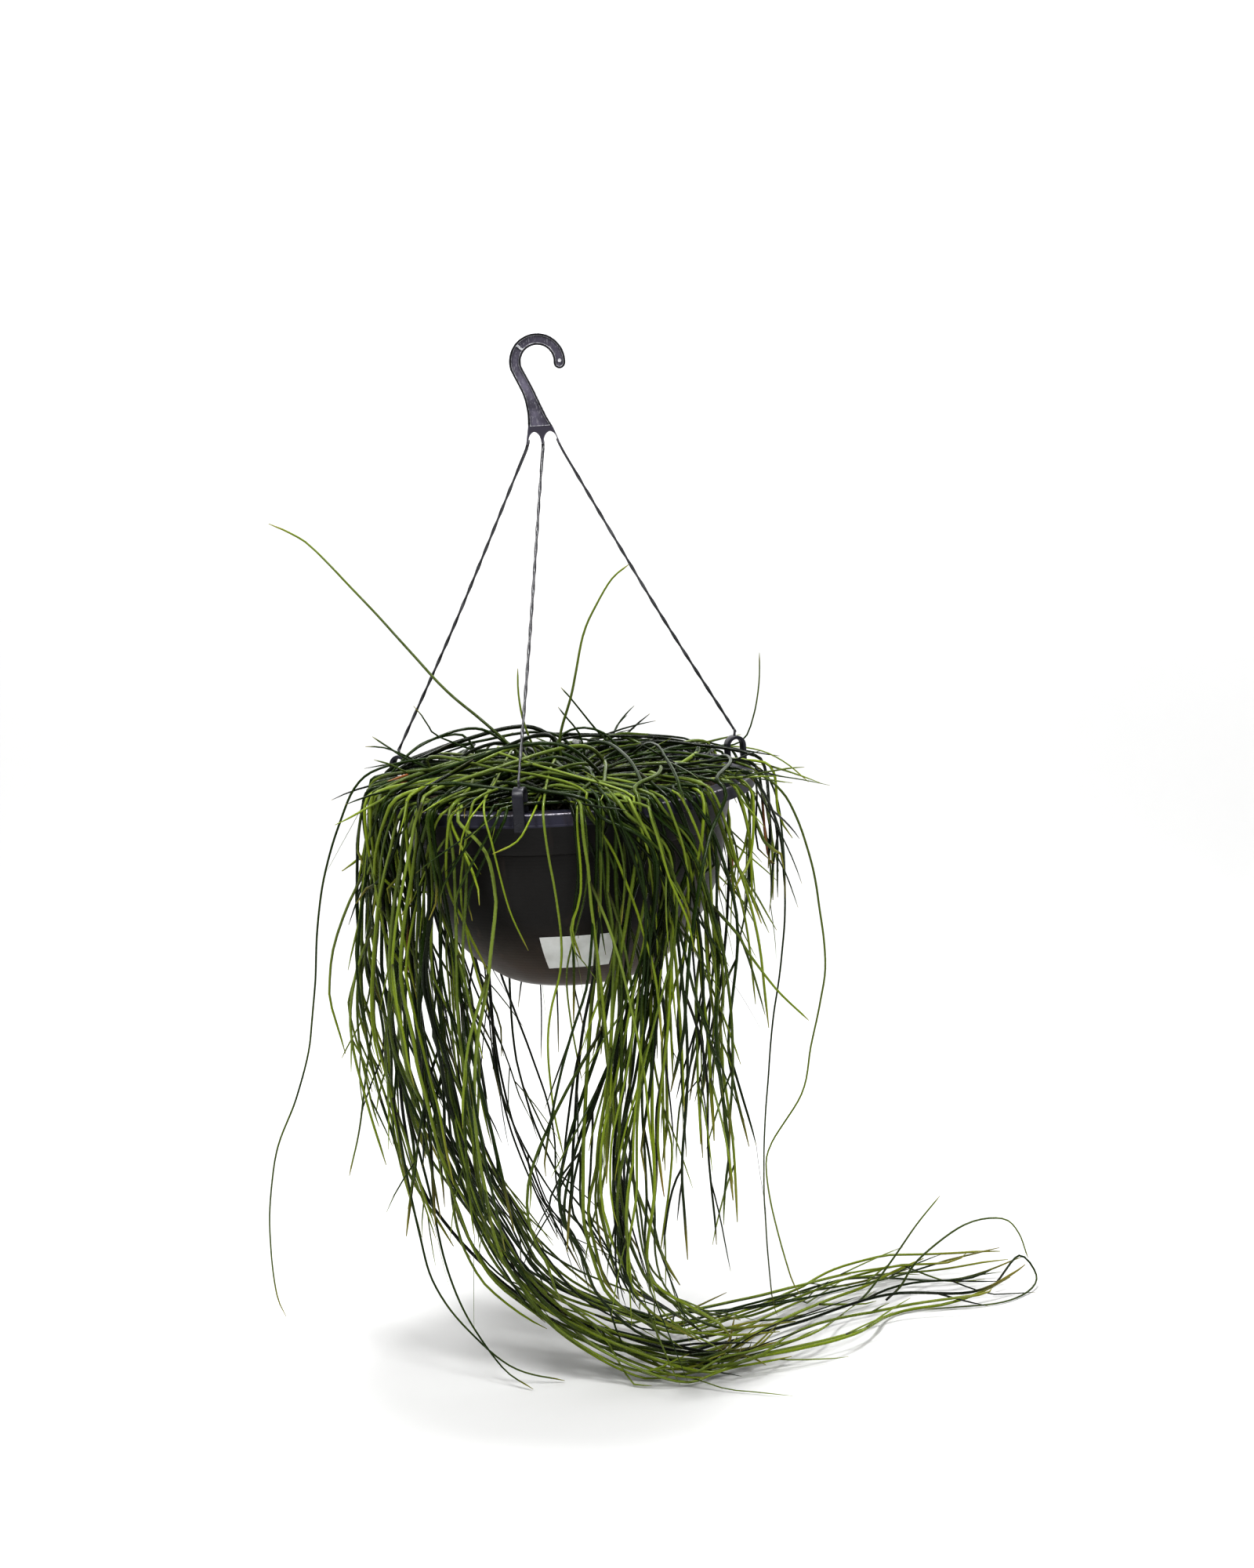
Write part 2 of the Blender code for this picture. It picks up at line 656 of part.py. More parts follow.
def lock_rings(lock, laid):
    """The lock's cross-sections: flat and wide over the rim, drawn together and tapering lower down."""
    points = curve_through(over_rim(lock) + lock.low_route, LOCK_STEP)
    turn = math.radians(lock.azimuth)
    around_pot = Vector((math.cos(turn), math.sin(turn), 0))
    total = len(points) - 1
    rings = []
    for k, point in enumerate(points):
        before, after = points[max(k - 1, 0)], points[min(k + 1, total)]
        along = (after - before).normalized()
        gathered = ease(-point.z, 0.47, 0.62) if laid else 0.0
        across = around_pot.lerp(Vector((0, 1 if around_pot.y > 0 else -1, 0)), gathered)
        across = (across - along * across.dot(along)).normalized()
        out = along.cross(across)
        half = lock_half_width(point, lock.sector)
        half += (LANE_HALF_WIDTH - half) * gathered
        thick = LOCK_HALF_THICKNESS + (LANE_HALF_HEIGHT - LOCK_HALF_THICKNESS) * gathered
        share = k / total
        taper = min(1.0, 0.45 + 8 * share) * min(1.0, 0.25 + 3.2 * (1 - share))
        rings.append(
            [
                point
                + across * half * taper * math.cos(math.tau * (s + 0.5) / LOCK_SIDES)
                + out * thick * taper * math.sin(math.tau * (s + 0.5) / LOCK_SIDES)
                for s in range(LOCK_SIDES)
            ]
        )
    return rings


def left_locks():
    """The curtain at the left: two short locks at the front, then the long ones that reach the floor."""
    azimuths = sector_centres(-16.0, -108.5, 8)
    locks = [
        falling_route(azimuths[0][0], -0.400),
        falling_route(azimuths[1][0], -0.600, (0.030, 0.0)),
    ]
    for k in range(6):
        locks.append(lane_route(azimuths[2 + k][0], k - 4, 6 - (k % 2)))
    return zip(azimuths, locks)


def back_locks():
    azimuths = sector_centres(-115.5, -247.5, 11)
    routes = [
        lane_route(azimuths[0][0], 2, 5),
        lane_route(azimuths[1][0], 3, 5),
        [Vector(p) for p in BACK_TRESS],
    ]
    tips = (-0.500, -0.430, -0.425, -0.580, -0.600, -0.580, -0.560, -0.520)
    routes += [falling_route(place[0], tip) for place, tip in zip(azimuths[3:], tips)]
    return zip(azimuths, routes)


def right_locks():
    azimuths = sector_centres(105.5, -8.5, 10)
    tips = (-0.430, -0.450, -0.430, -0.470, -0.530, -0.575, -0.590)
    routes = [falling_route(place[0], tip) for place, tip in zip(azimuths, tips)]
    routes.append(beside(FRONT_TRESS, TRESS_HALF_SPACING))
    routes.append(beside(FRONT_TRESS, -TRESS_HALF_SPACING))
    routes.append(falling_route(azimuths[9][0], -0.460))
    return zip(azimuths, routes)


def sector_centres(first, last, count):
    """(azimuth, width) of equal sectors between two azimuths."""
    step = (last - first) / count
    return [(first + step * (k + 0.5), abs(step)) for k in range(count)]


def make_locks(material):
    made = 0
    for place, make in (("left", left_locks), ("back", back_locks), ("right", right_locks)):
        for k, ((azimuth, sector), route) in enumerate(make()):
            root_radius, crest = ROOT_ROWS[made % len(ROOT_ROWS)]
            lock = Lock(f"stem_lock_{place}_{k + 1:02d}", azimuth, sector, root_radius, crest, route)
            laid = route[-1].z < FLOOR + LAID_HEIGHT
            add_object(lock.name, loft(lock.name, lock_rings(lock, laid)), material)
            made += 1


def make_strays(material):
    """The single stems, each rooted near the pot's middle, where they rise between the locks."""
    for name, stray in STRAYS.items():
        foot = rooted(stray.root_radius, stray.root_azimuth)
        route = curve_through([*foot, *stray.route], STRAY_STEP)
        radii = [stray.radius * share for share in (1.0, 1.0, 0.9, 0.6)]
        round_tube(f"stray_stem_{name}", route, radii, material, 0)


def make_stems():
    material = principled("stem_green", (0.095, 0.170, 0.022), 0.42)
    make_locks(material)
    make_strays(material)


# ---------------------------------------------------------------- assembly


def main():
    clear_scene()
    hanging = bpy.data.objects.new("hanging_frame", None)
    bpy.context.scene.collection.objects.link(hanging)
    hanging.rotation_euler.y = HANG_TILT
    make_hanger(hanging)
    make_pot(hanging)
    make_soil(hanging)
    make_label(hanging)
    make_stems()


main()
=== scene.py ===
"""The looks of a rhipsalis in a hanging bowl pot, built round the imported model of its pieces.

Everything is in metres in the model's own frame: +Z is up, -Y is the front, and the origin is the seat of
the hook. Azimuths are in degrees round the pot's axis, from the front towards the right.
"""

import json
import logging
import math
from dataclasses import dataclass
from enum import Enum
from typing import ClassVar, Iterable, Sequence

import bmesh
import bpy
import numpy as np
from bpy.types import ColorRamp, Material, Mesh, NodeSocket, NodeTree, Object
from mathutils import Matrix, Vector


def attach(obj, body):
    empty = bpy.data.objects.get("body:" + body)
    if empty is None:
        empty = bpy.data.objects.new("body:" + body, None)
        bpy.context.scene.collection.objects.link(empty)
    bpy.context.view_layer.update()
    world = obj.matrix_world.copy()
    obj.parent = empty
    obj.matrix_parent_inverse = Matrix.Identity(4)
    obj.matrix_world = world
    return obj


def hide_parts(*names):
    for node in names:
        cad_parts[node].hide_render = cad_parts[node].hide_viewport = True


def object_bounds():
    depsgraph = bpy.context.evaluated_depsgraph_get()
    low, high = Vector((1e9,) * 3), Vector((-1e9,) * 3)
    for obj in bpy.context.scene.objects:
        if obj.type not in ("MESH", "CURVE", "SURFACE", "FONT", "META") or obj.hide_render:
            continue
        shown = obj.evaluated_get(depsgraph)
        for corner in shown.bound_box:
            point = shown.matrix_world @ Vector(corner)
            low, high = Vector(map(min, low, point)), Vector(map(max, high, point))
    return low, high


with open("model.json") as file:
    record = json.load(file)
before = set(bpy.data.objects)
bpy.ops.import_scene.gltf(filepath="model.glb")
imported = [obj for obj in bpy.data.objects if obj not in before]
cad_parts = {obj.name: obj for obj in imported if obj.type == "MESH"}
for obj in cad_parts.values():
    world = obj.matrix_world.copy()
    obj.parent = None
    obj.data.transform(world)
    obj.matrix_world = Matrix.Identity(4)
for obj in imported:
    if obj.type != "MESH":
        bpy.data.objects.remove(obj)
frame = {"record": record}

CAD_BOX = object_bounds()
BODY = "root"
BAKE_MAP = "OFBake"
COAT_MAP = "stem_coat"

# lengths below this one count as nothing
TINY = 1e-6
# how much of an edge a rounded corner may take
LONGEST_CUT = 0.45
WHITE, BLACK = (1.0, 1.0, 1.0), (0.0, 0.0, 0.0)

Colour = tuple[float, float, float]
Pair = tuple[float, float]
Inputs = dict[str | int, object]

log = logging.getLogger("rhipsalis")


# ---- node graphs


class Link:
    """A node's output, on which arithmetic adds Math nodes."""

    def __init__(self, graph: "Graph", socket: NodeSocket) -> None:
        """Keeps the output and the graph that it belongs to."""
        self.graph = graph
        self.socket = socket

    def __add__(self, other: "Link | float") -> "Link":
        """self + other."""
        return self.graph.math("ADD", self, other)

    def __sub__(self, other: "Link | float") -> "Link":
        """self - other."""
        return self.graph.math("SUBTRACT", self, other)

    def __rsub__(self, other: float) -> "Link":
        """other - self."""
        return self.graph.math("SUBTRACT", other, self)

    def __mul__(self, other: "Link | float") -> "Link":
        """self * other."""
        return self.graph.math("MULTIPLY", self, other)

    def __truediv__(self, other: "Link | float") -> "Link":
        """self / other."""
        return self.graph.math("DIVIDE", self, other)

    def __pow__(self, other: float) -> "Link":
        """self to the power of other."""
        return self.graph.math("POWER", self, other)

    __radd__ = __add__
    __rmul__ = __mul__


class Graph:
    """A shader or geometry node tree that is written as expressions."""

    def __init__(self, tree: NodeTree) -> None:
        """Keeps the tree."""
        self.tree = tree

    def add(
        self,
        kind: str,
        settings: dict[str, object] | None = None,
        inputs: Inputs | None = None,
        out: str | int = 0,
    ) -> Link:
        """Adds a node.

        Args:
            kind: the node's type.
            settings: its properties, which are set first; "stops" holds a ramp's (place, colour) pairs.
            inputs: a value or a link for each socket, by its identifier, name or place.
            out: the output that is returned, by identifier, name or place.

        Returns:
            The chosen output.
        """
        node = self.tree.nodes.new(kind)
        for name, value in (settings or {}).items():
            if name == "stops":
                self.set_stops(node.color_ramp, value)
            else:
                setattr(node, name, value)
        for key, value in (inputs or {}).items():
            socket = self.find(node.inputs, key)
            if isinstance(value, Link):
                self.tree.links.new(value.socket, socket)
            else:
                socket.default_value = value
        return Link(self, self.find(node.outputs, out))

    @staticmethod
    def find(sockets: Iterable, key: str | int) -> NodeSocket:
        """A node's socket by its place, its identifier or its name."""
        named = [s for by in ("identifier", "name") for s in sockets if getattr(s, by) == key and s.enabled]
        return sockets[key] if isinstance(key, int) else named[0]

    @staticmethod
    def set_stops(ramp: ColorRamp, stops: Sequence[tuple[float, Colour]]) -> None:
        """Gives a ramp its stops.

        Args:
            ramp: the ramp.
            stops: (place, colour) pairs.
        """
        while len(ramp.elements) < len(stops):
            ramp.elements.new(1.0)
        for element, (place, colour) in zip(ramp.elements, stops):
            element.position = place
            element.color = (*colour, 1.0)

    def math(self, operation: str, *values: Link | float) -> Link:
        """The result of a Math node on the given values."""
        return self.add("ShaderNodeMath", {"operation": operation}, dict(enumerate(values)))

    def coordinates(self) -> Link:
        """The place on the object, in metres."""
        return self.add("ShaderNodeTexCoord", out="Object")

    def part(self, vector: Link, axis: str) -> Link:
        """One coordinate of a vector."""
        return self.add("ShaderNodeSeparateXYZ", {}, {"Vector": vector}, axis)

    def length(self, vector: Link) -> Link:
        """A vector's length."""
        return self.add("ShaderNodeVectorMath", {"operation": "LENGTH"}, {0: vector}, "Value")

    def scaled(self, vector: Link, scale: tuple[float, float, float]) -> Link:
        """A vector through a Mapping node that scales it."""
        return self.add("ShaderNodeMapping", {}, {"Vector": vector, "Scale": scale})

    def noise(self, vector: Link, scale: float, detail: float = 2.0, roughness: float = 0.5) -> Link:
        """A noise of about 0 to 1 with features of 1/scale metres."""
        inputs = {"Vector": vector, "Scale": scale, "Detail": detail, "Roughness": roughness}
        return self.add("ShaderNodeTexNoise", {}, inputs, "Fac")

    def band(self, value: Link, low: float, high: float, reach: Pair = (0.0, 1.0)) -> Link:
        """A value that runs smoothly over the reach as the given one goes from low to high."""
        inputs = {"Value": value, "From Min": low, "From Max": high, "To Min": reach[0], "To Max": reach[1]}
        return self.add("ShaderNodeMapRange", {"interpolation_type": "SMOOTHSTEP"}, inputs, "Result")

    def mix(self, factor: Link | float, first: Link | Colour, second: Link | Colour) -> Link:
        """A colour between two, by a factor."""
        start, end = (c if isinstance(c, Link) else (*c, 1.0) for c in (first, second))
        return self.add("ShaderNodeMix", {"data_type": "RGBA"},
                        {"Factor_Float": factor, "A_Color": start, "B_Color": end}, "Result_Color")

    def ramp(self, factor: Link, stops: Sequence[tuple[float, Colour]]) -> Link:
        """A colour from a ramp."""
        return self.add("ShaderNodeValToRGB", {"stops": stops}, {"Fac": factor}, "Color")

    def bump(self, height: Link, depth: float, under: Link | None = None) -> Link:
        """A normal from a height of 0 to 1 that is depth metres deep, on top of another normal."""
        inputs = {"Height": height, "Distance": depth, "Strength": 1.0, **({"Normal": under} if under else {})}
        return self.add("ShaderNodeBump", {}, inputs, "Normal")

    def attribute(self, name: str) -> Link:
        """A number that the mesh holds."""
        settings = {"attribute_type": "GEOMETRY", "attribute_name": name}
        return self.add("ShaderNodeAttribute", settings, out="Fac")


# ---- finishes


@dataclass(frozen=True)
class Finish:
    """A finish that becomes one material."""

    name: str

    def surface(self, graph: Graph) -> Inputs:
        """The Principled shader's inputs, from nodes in the material's graph."""
        raise NotImplementedError

    def make(self) -> Material:
        """Makes the material.

        Returns:
            The material, with its nodes.
        """
        material = bpy.data.materials.new(self.name)
        material.use_nodes = True
        material.node_tree.nodes.clear()
        graph = Graph(material.node_tree)
        shader = graph.add("ShaderNodeBsdfPrincipled", {}, self.surface(graph), "BSDF")
        output = graph.tree.nodes.new("ShaderNodeOutputMaterial")
        graph.tree.links.new(shader.socket, output.inputs["Surface"])
        return material


@dataclass(frozen=True)
class StemFinish(Finish):
    """Waxy stems, from dark olive to yellow-green partly as painted light and shade, with bases darkened
    partly as painted shade, yellow or reddish tips and a few dry ends.
    """

    dark: Colour = (0.004, 0.007, 0.0015)
    middle: Colour = (0.0125, 0.0275, 0.0021)
    light: Colour = (0.144, 0.188, 0.035)
    tip: Colour = (0.23, 0.2, 0.04)
    dry: Colour = (0.21, 0.078, 0.026)
    # the old base of a stem: browner growth, also darkened as painted shade deep in the crown
    old: Colour = (0.016, 0.015, 0.006)
    fresh: Colour = (0.165, 0.215, 0.008)
    youth: float = 0.2
    patchy: float = 0.38
    mottled: float = 0.1
    old_shaded_end: float = 0.17
    ridge_depth: float = 0.00012

    def surface(self, graph: Graph) -> Inputs:
        """Colour by stem and place along it, partly painted light and shade, with mottling, fine ridges and a
        soft waxy gloss.

        Args:
            graph: the material's graph.

        Returns:
            The shader's inputs.
        """
        place = graph.coordinates()
        coat = graph.add("ShaderNodeUVMap", {"uv_map": COAT_MAP}, out="UV")
        patches = graph.noise(place, 22.0)
        mottle = graph.noise(place, 420.0)
        along = graph.attribute("along")
        # each stem's shade is partly its green's tone and partly painted light: darker where it hangs in
        # shadow, lighter where it is lit
        shade = graph.attribute("shade") + along**2.0 * self.youth
        shade = shade + (patches - 0.5) * self.patchy + (mottle - 0.5) * self.mottled
        green = graph.ramp(shade, [(0.1, self.dark), (0.46, self.middle), (1.0, self.light)])
        grown = graph.band(along, 0.3, 0.8, (0.0, 0.7)) * graph.band(shade, 0.45, 1.0)
        green = graph.mix(grown, green, self.fresh)
        # the old bases, darker partly as painted shade in the crown
        green = graph.mix(graph.band(along, 0.0, self.old_shaded_end, (0.92, 0.0)), green, self.old)
        tips = graph.band(along + (patches - 0.5) * 0.1, 0.93, 1.0, (0.0, 0.65))
        green = graph.mix(tips, green, self.tip)
        green = graph.mix(graph.attribute("dry"), green, self.dry)
        ridges = graph.noise(graph.scaled(coat, (9.0, 60.0, 1.0)), 1.0)
        return {
            "Base Color": green,
            "Roughness": graph.band(mottle, 0.2, 0.8, (0.18, 0.32)),
            "Normal": graph.bump(ridges, self.ridge_depth),
            "Specular IOR Level": 0.19,
        }


@dataclass(frozen=True)
class PlasticFinish(Finish):
    """Moulded plastic with a fine grain, dust and rubbed places."""

    colour: Colour = (0.012, 0.012, 0.017)
    worn: Colour = (0.04, 0.04, 0.052)
    roughness: float = 0.26
    unevenness: Pair = (-0.06, 0.14)
    grain: float = 0.00006
    waves: float = 0.0003
    gloss: float = 0.35

    def base(self, graph: Graph, place: Link, cloud: Link) -> Link:
        """The colour, greyer where the plastic is rubbed."""
        return graph.mix(graph.band(cloud, 0.5, 0.78, (0.0, 0.6)), self.colour, self.worn)

    def surface(self, graph: Graph) -> Inputs:
        """A dark colour with an uneven satin gloss.

        Args:
            graph: the material's graph.

        Returns:
            The shader's inputs.
        """
        place = graph.coordinates()
        cloud = graph.noise(place, 45.0, 4.0, 0.6)
        fine = graph.noise(place, 1400.0)
        rough = tuple(self.roughness + step for step in self.unevenness)
        return {
            "Base Color": self.base(graph, place, cloud),
            "Roughness": graph.band(cloud, 0.25, 0.75, rough),
            "Normal": graph.bump(fine, self.grain, graph.bump(cloud, self.waves)),
            "Specular IOR Level": self.gloss,
        }


@dataclass(frozen=True)
class HookFinish(PlasticFinish):
    """The hook's moulding: dark glossy ribs with a painted highlight along their edges, round a paler web with
    painted glints and painted shade at the crook.
    """

    colour: Colour = (0.0065, 0.0065, 0.0085)
    worn: Colour = (0.024, 0.024, 0.03)
    web: Colour = (0.135, 0.125, 0.165)
    web_dark: Colour = (0.05, 0.046, 0.062)
    # a painted highlight: a pale line along the ribs' edges and glints on the web
    painted_highlight: Colour = (0.48, 0.48, 0.5)
    # distances from the hook's middle plane; the last two bound the painted highlight on the ribs' rounded
    # edges
    web_depth: float = 0.0012
    rib_depth: float = 0.0021
    highlight_start: Pair = (0.0019, 0.00206)
    highlight_end: Pair = (0.00232, 0.00248)
    # heights over which the colour changes: the web above the shank is darkened as painted shade on the crook,
    # and below the yoke's top the colour turns to the web's darker tone
    crook_shade_heights: Pair = (-0.034, -0.014)
    yoke_top: Pair = (-0.0556, -0.054)
    # the size of the painted glints on the web
    glint_scale: tuple[float, float, float] = (1100.0, 300.0, 420.0)
    roughness: float = 0.2
    gloss: float = 0.6

    def base(self, graph: Graph, place: Link, cloud: Link) -> Link:
        """The colour of the ribs, rubbed in places, with a painted highlight along their edges and, below
        them, of the web with painted glints and painted shade at the crook.

        Args:
            graph: the material's graph.
            place: the place on the hook.
            cloud: a coarse noise.

        Returns:
            The colour.
        """
        ribs = super().base(graph, place, cloud)
        height = graph.part(place, "Z")
        smooth = graph.mix(graph.band(graph.noise(place, 60.0), 0.35, 0.65), self.web_dark, self.web)
        # painted shade: the web darkens upwards towards the crook
        web = graph.mix(graph.band(height, *self.crook_shade_heights, (0.0, 0.7)), smooth, self.web_dark)
        # painted glints: small pale highlights scattered over the web
        glints = graph.noise(graph.scaled(place, self.glint_scale), 1.0)
        web = graph.mix(graph.band(glints, 0.54, 0.72, (0.0, 0.2)), web, self.painted_highlight)
        depth = graph.math("ABSOLUTE", graph.part(place, "Y"))
        whole = graph.mix(graph.band(depth, self.web_depth, self.rib_depth), web, ribs)
        whole = graph.mix(graph.band(height, *self.yoke_top, (0.85, 0.0)), whole, self.web_dark)
        # a painted highlight along the ribs' rounded edges, broken up by the glints
        edge = graph.band(depth, *self.highlight_start) * (1.0 - graph.band(depth, *self.highlight_end))
        return graph.mix(edge * graph.band(glints, 0.3, 0.62, (0.25, 1.0)), whole, self.painted_highlight)


@dataclass(frozen=True)
class PotFinish(Finish):
    """The pot's dark moulding: a bluish band, lighter partly as painted light from above, a painted highlight
    along the rim's top edge, a brown-black bowl with dust low down and faint turned rings.
    """

    axis_tilt: float = 0.0
    base: tuple[float, float, float] = (0.0, 0.0, 0.0)
    bowl: Colour = (0.01, 0.0088, 0.008)
    # the band's own bluish tint, made lighter than the bowl partly as painted light from above
    band_tint_and_light: Colour = (0.026, 0.025, 0.04)
    dust: Colour = (0.118, 0.078, 0.054)
    # a painted highlight: a pale line round the rim's top edge
    rim_highlight_colour: Colour = (0.52, 0.5, 0.54)
    # heights over the base, and the radii between which the painted highlight on the rim's top edge comes in
    band_heights: Pair = (0.1255, 0.1275)
    rim_highlight_heights: Pair = (0.1349, 0.1357)
    rim_highlight_radii: Pair = (0.1312, 0.1322)
    dust_top: float = 0.062
    # the turned rings' waves, in radians a metre
    ring_waves: float = 2600.0
    ring_depth: float = 0.000012
    grain: float = 0.00005

    def surface(self, graph: Graph) -> Inputs:
        """Colour by height over the pot's base, partly painted light, with a painted highlight on the rim's
        top edge, dusty streaks, and rings from the mould.

        Args:
            graph: the material's graph.

        Returns:
            The shader's inputs.
        """
        upright = {"Vector": graph.coordinates(), "Center": self.base, "Angle": self.axis_tilt}
        place = graph.add("ShaderNodeVectorRotate", {"rotation_type": "Y_AXIS"}, upright, "Vector")
        height = graph.part(place, "Z") - self.base[2]
        cloud = graph.noise(place, 22.0, 4.0, 0.6)
        fine = graph.noise(place, 900.0)
        streaks = graph.noise(graph.scaled(place, (90.0, 90.0, 9.0)), 1.0, 3.0)
        apart = graph.add("ShaderNodeVectorMath", {"operation": "SUBTRACT"}, {0: place, 1: self.base})
        flat = graph.add("ShaderNodeVectorMath", {"operation": "MULTIPLY"}, {0: apart, 1: (1.0, 1.0, 0.0)})
        # a painted highlight round the rim's top edge, broken up by fine noise
        edge = graph.band(height, *self.rim_highlight_heights, (0.0, 0.75))
        edge = edge * graph.band(graph.length(flat), *self.rim_highlight_radii)
        # the band: its own bluish tint, lighter partly as painted light from above
        colour = graph.mix(graph.band(height, *self.band_heights), self.bowl, self.band_tint_and_light)
        colour = graph.mix(edge * graph.band(fine, 0.3, 0.6), colour, self.rim_highlight_colour)
        colour = graph.mix(graph.band(height, 0.0, self.dust_top, (1.0, 0.0)) * cloud, colour, self.dust)
        colour = graph.mix(graph.band(streaks, 0.55, 0.8, (0.0, 0.32)), colour, self.dust)
        rings = graph.math("SINE", height * self.ring_waves)
        return {
            "Base Color": colour,
            "Roughness": graph.band(cloud + (streaks - 0.5) * 0.4, 0.2, 0.8, (0.32, 0.52)),
            "Normal": graph.bump(rings, self.ring_depth, graph.bump(fine, self.grain)),
            "Specular IOR Level": 0.22,
        }


@dataclass(frozen=True)
class SoilFinish(Finish):
    """Crumbly potting mix: dark peat with lighter fibres and bark."""

    peat: Colour = (0.01, 0.007, 0.005)
    mould: Colour = (0.034, 0.021, 0.012)
    bark: Colour = (0.11, 0.07, 0.038)

    def surface(self, graph: Graph) -> Inputs:
        """Brown crumbs of several shades, quite matt.

        Args:
            graph: the material's graph.

        Returns:
            The shader's inputs.
        """
        place = graph.coordinates()
        crumbs = graph.add("ShaderNodeTexVoronoi", {}, {"Vector": place, "Scale": 260.0}, "Distance")
        cloud = graph.noise(place, 120.0, 5.0, 0.65)
        return {
            "Base Color": graph.ramp(cloud, [(0.3, self.peat), (0.55, self.mould), (0.8, self.bark)]),
            "Roughness": graph.band(cloud, 0.2, 0.8, (0.85, 1.0)),
            "Normal": graph.bump(crumbs, 0.0012, graph.bump(cloud, 0.002)),
        }


@dataclass(frozen=True)
class PaperFinish(Finish):
    """A coated paper label, bare, a little grey and buckled."""

    damp: Colour = (0.66, 0.66, 0.64)
    paper: Colour = (0.82, 0.83, 0.82)

    def surface(self, graph: Graph) -> Inputs:
        """Off-white with faint fibres and damp marks.

        Args:
            graph: the material's graph.

        Returns:
            The shader's inputs.
        """
        place = graph.coordinates()
        cloud = graph.noise(place, 70.0, 4.0)
        fibres = graph.noise(graph.scaled(place, (900.0, 900.0, 2600.0)), 1.0, 3.0)
        return {
            "Base Color": graph.ramp(cloud, [(0.25, self.damp), (0.6, self.paper)]),
            "Roughness": graph.band(fibres, 0.2, 0.8, (0.38, 0.55)),
            "Normal": graph.bump(fibres, 0.00003, graph.bump(cloud, 0.0006)),
        }


@dataclass(frozen=True)
class StudioFinish(Finish):
    """The plain pale paper of the floor and backdrop."""

    pale: Colour = (0.58, 0.58, 0.57884)
    unevenness: float = 0.01
    # the heights between which the backdrop starts to shine
    lit_heights: Pair = (-0.6, 0.4)
    backlight: float = 0.75
    # the distances between which the floor starts to shine, and how much of the backlight it reaches
    far: Pair = (1.8, 3.2)
    far_light: float = 0.5

    def surface(self, graph: Graph) -> Inputs:
        """A near-white matt surface with the least unevenness, lit from behind where it rises or is far.

        Args:
            graph: the material's graph.

        Returns:
            The shader's inputs.
        """
        place = graph.coordinates()
        risen = graph.band(graph.part(place, "Z"), *self.lit_heights)
        away = graph.band(graph.length(place), *self.far, (0.0, self.far_light))
        duller = tuple(c * (1.0 - self.unevenness) for c in self.pale)
        return {
            "Base Color": graph.mix(graph.noise(place, 1.5), self.pale, duller),
            "Roughness": 0.95,
            "Specular IOR Level": 0.1,
            "Emission Color": graph.mix(graph.math("MAXIMUM", risen, away), BLACK, WHITE),
            "Emission Strength": self.backlight,
        }


# ---- meshes


def mesh_object(name: str, mesh: Mesh) -> Object:
    """Links a new object that holds a mesh.

    Args:
        name: the object's and the mesh's name.
        mesh: the mesh.

    Returns:
        The object.
    """
    mesh.name = name
    obj = bpy.data.objects.new(name, mesh)
    bpy.context.scene.collection.objects.link(obj)
    return obj


def applied(obj: Object) -> None:
    """Turns an object's live modifiers into its own plain mesh.

    Args:
        obj: the object.
    """
    graph = bpy.context.evaluated_depsgraph_get()
    shaped = obj.evaluated_get(graph)
    mesh = bpy.data.meshes.new_from_object(shaped, preserve_all_data_layers=True, depsgraph=graph)
    old = obj.data
    obj.modifiers.clear()
    obj.data = mesh
    bpy.data.meshes.remove(old)
    mesh.name = obj.name


def joined(whole: Object, parts: Sequence[Object]) -> None:
    """Moves the meshes of some objects into another's, where they lie, and removes the objects.

    Args:
        whole: the object that takes the meshes.
        parts: the objects that give theirs.
    """
    merged = bmesh.new()
    merged.from_mesh(whole.data)
    for part in parts:
        part.data.transform(part.matrix_basis)
        merged.from_mesh(part.data)
        bpy.data.objects.remove(part)
    merged.to_mesh(whole.data)
    merged.free()


def softened(obj: Object, width: float, clamped: bool = True) -> None:
    """Gives an object a live bevel of three steps on its sharp edges.

    Args:
        obj: the object.
        width: the bevel's width.
        clamped: whether the bevel gives way where it meets another.
    """
    bevel = obj.modifiers.new("soften", "BEVEL")
    bevel.width = width
    bevel.segments = 3
    bevel.use_clamp_overlap = clamped
    bevel.limit_method = "ANGLE"
    bevel.angle_limit = math.radians(50)


def shaded(mesh: Mesh, angle: float = 35.0) -> None:
    """Shades a mesh smooth, with edges past the angle in degrees kept sharp."""
    mesh.shade_smooth()
    mesh.set_sharp_from_angle(angle=math.radians(angle))


def plain_mesh(name: str, points: Sequence, edges: Sequence = (), faces: Sequence = ()) -> Mesh:
    """A mesh from its points and what joins them.

    Args:
        name: the mesh's name.
        points: its places.
        edges: pairs of points, where it has loose edges.
        faces: rings of points, each turning left as seen from outside.

    Returns:
        The mesh.
    """
    mesh = bpy.data.meshes.new(name)
    mesh.from_pydata(points, edges, faces)
    return mesh


def dress(obj: Object, finish: Material, nodes: Sequence[str] = ()) -> None:
    """Gives a piece its material, hangs it on the body and hides the CAD nodes that it stands for.

    Args:
        obj: the piece.
        finish: its material.
        nodes: the CAD nodes that it stands for.
    """
    obj.data.materials.clear()
    obj.data.materials.append(finish)
    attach(obj, BODY)
    if nodes:
        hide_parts(*nodes)
    log.info("%s: %d faces for %s", obj.name, len(obj.data.polygons), ", ".join(nodes) or "no CAD node")


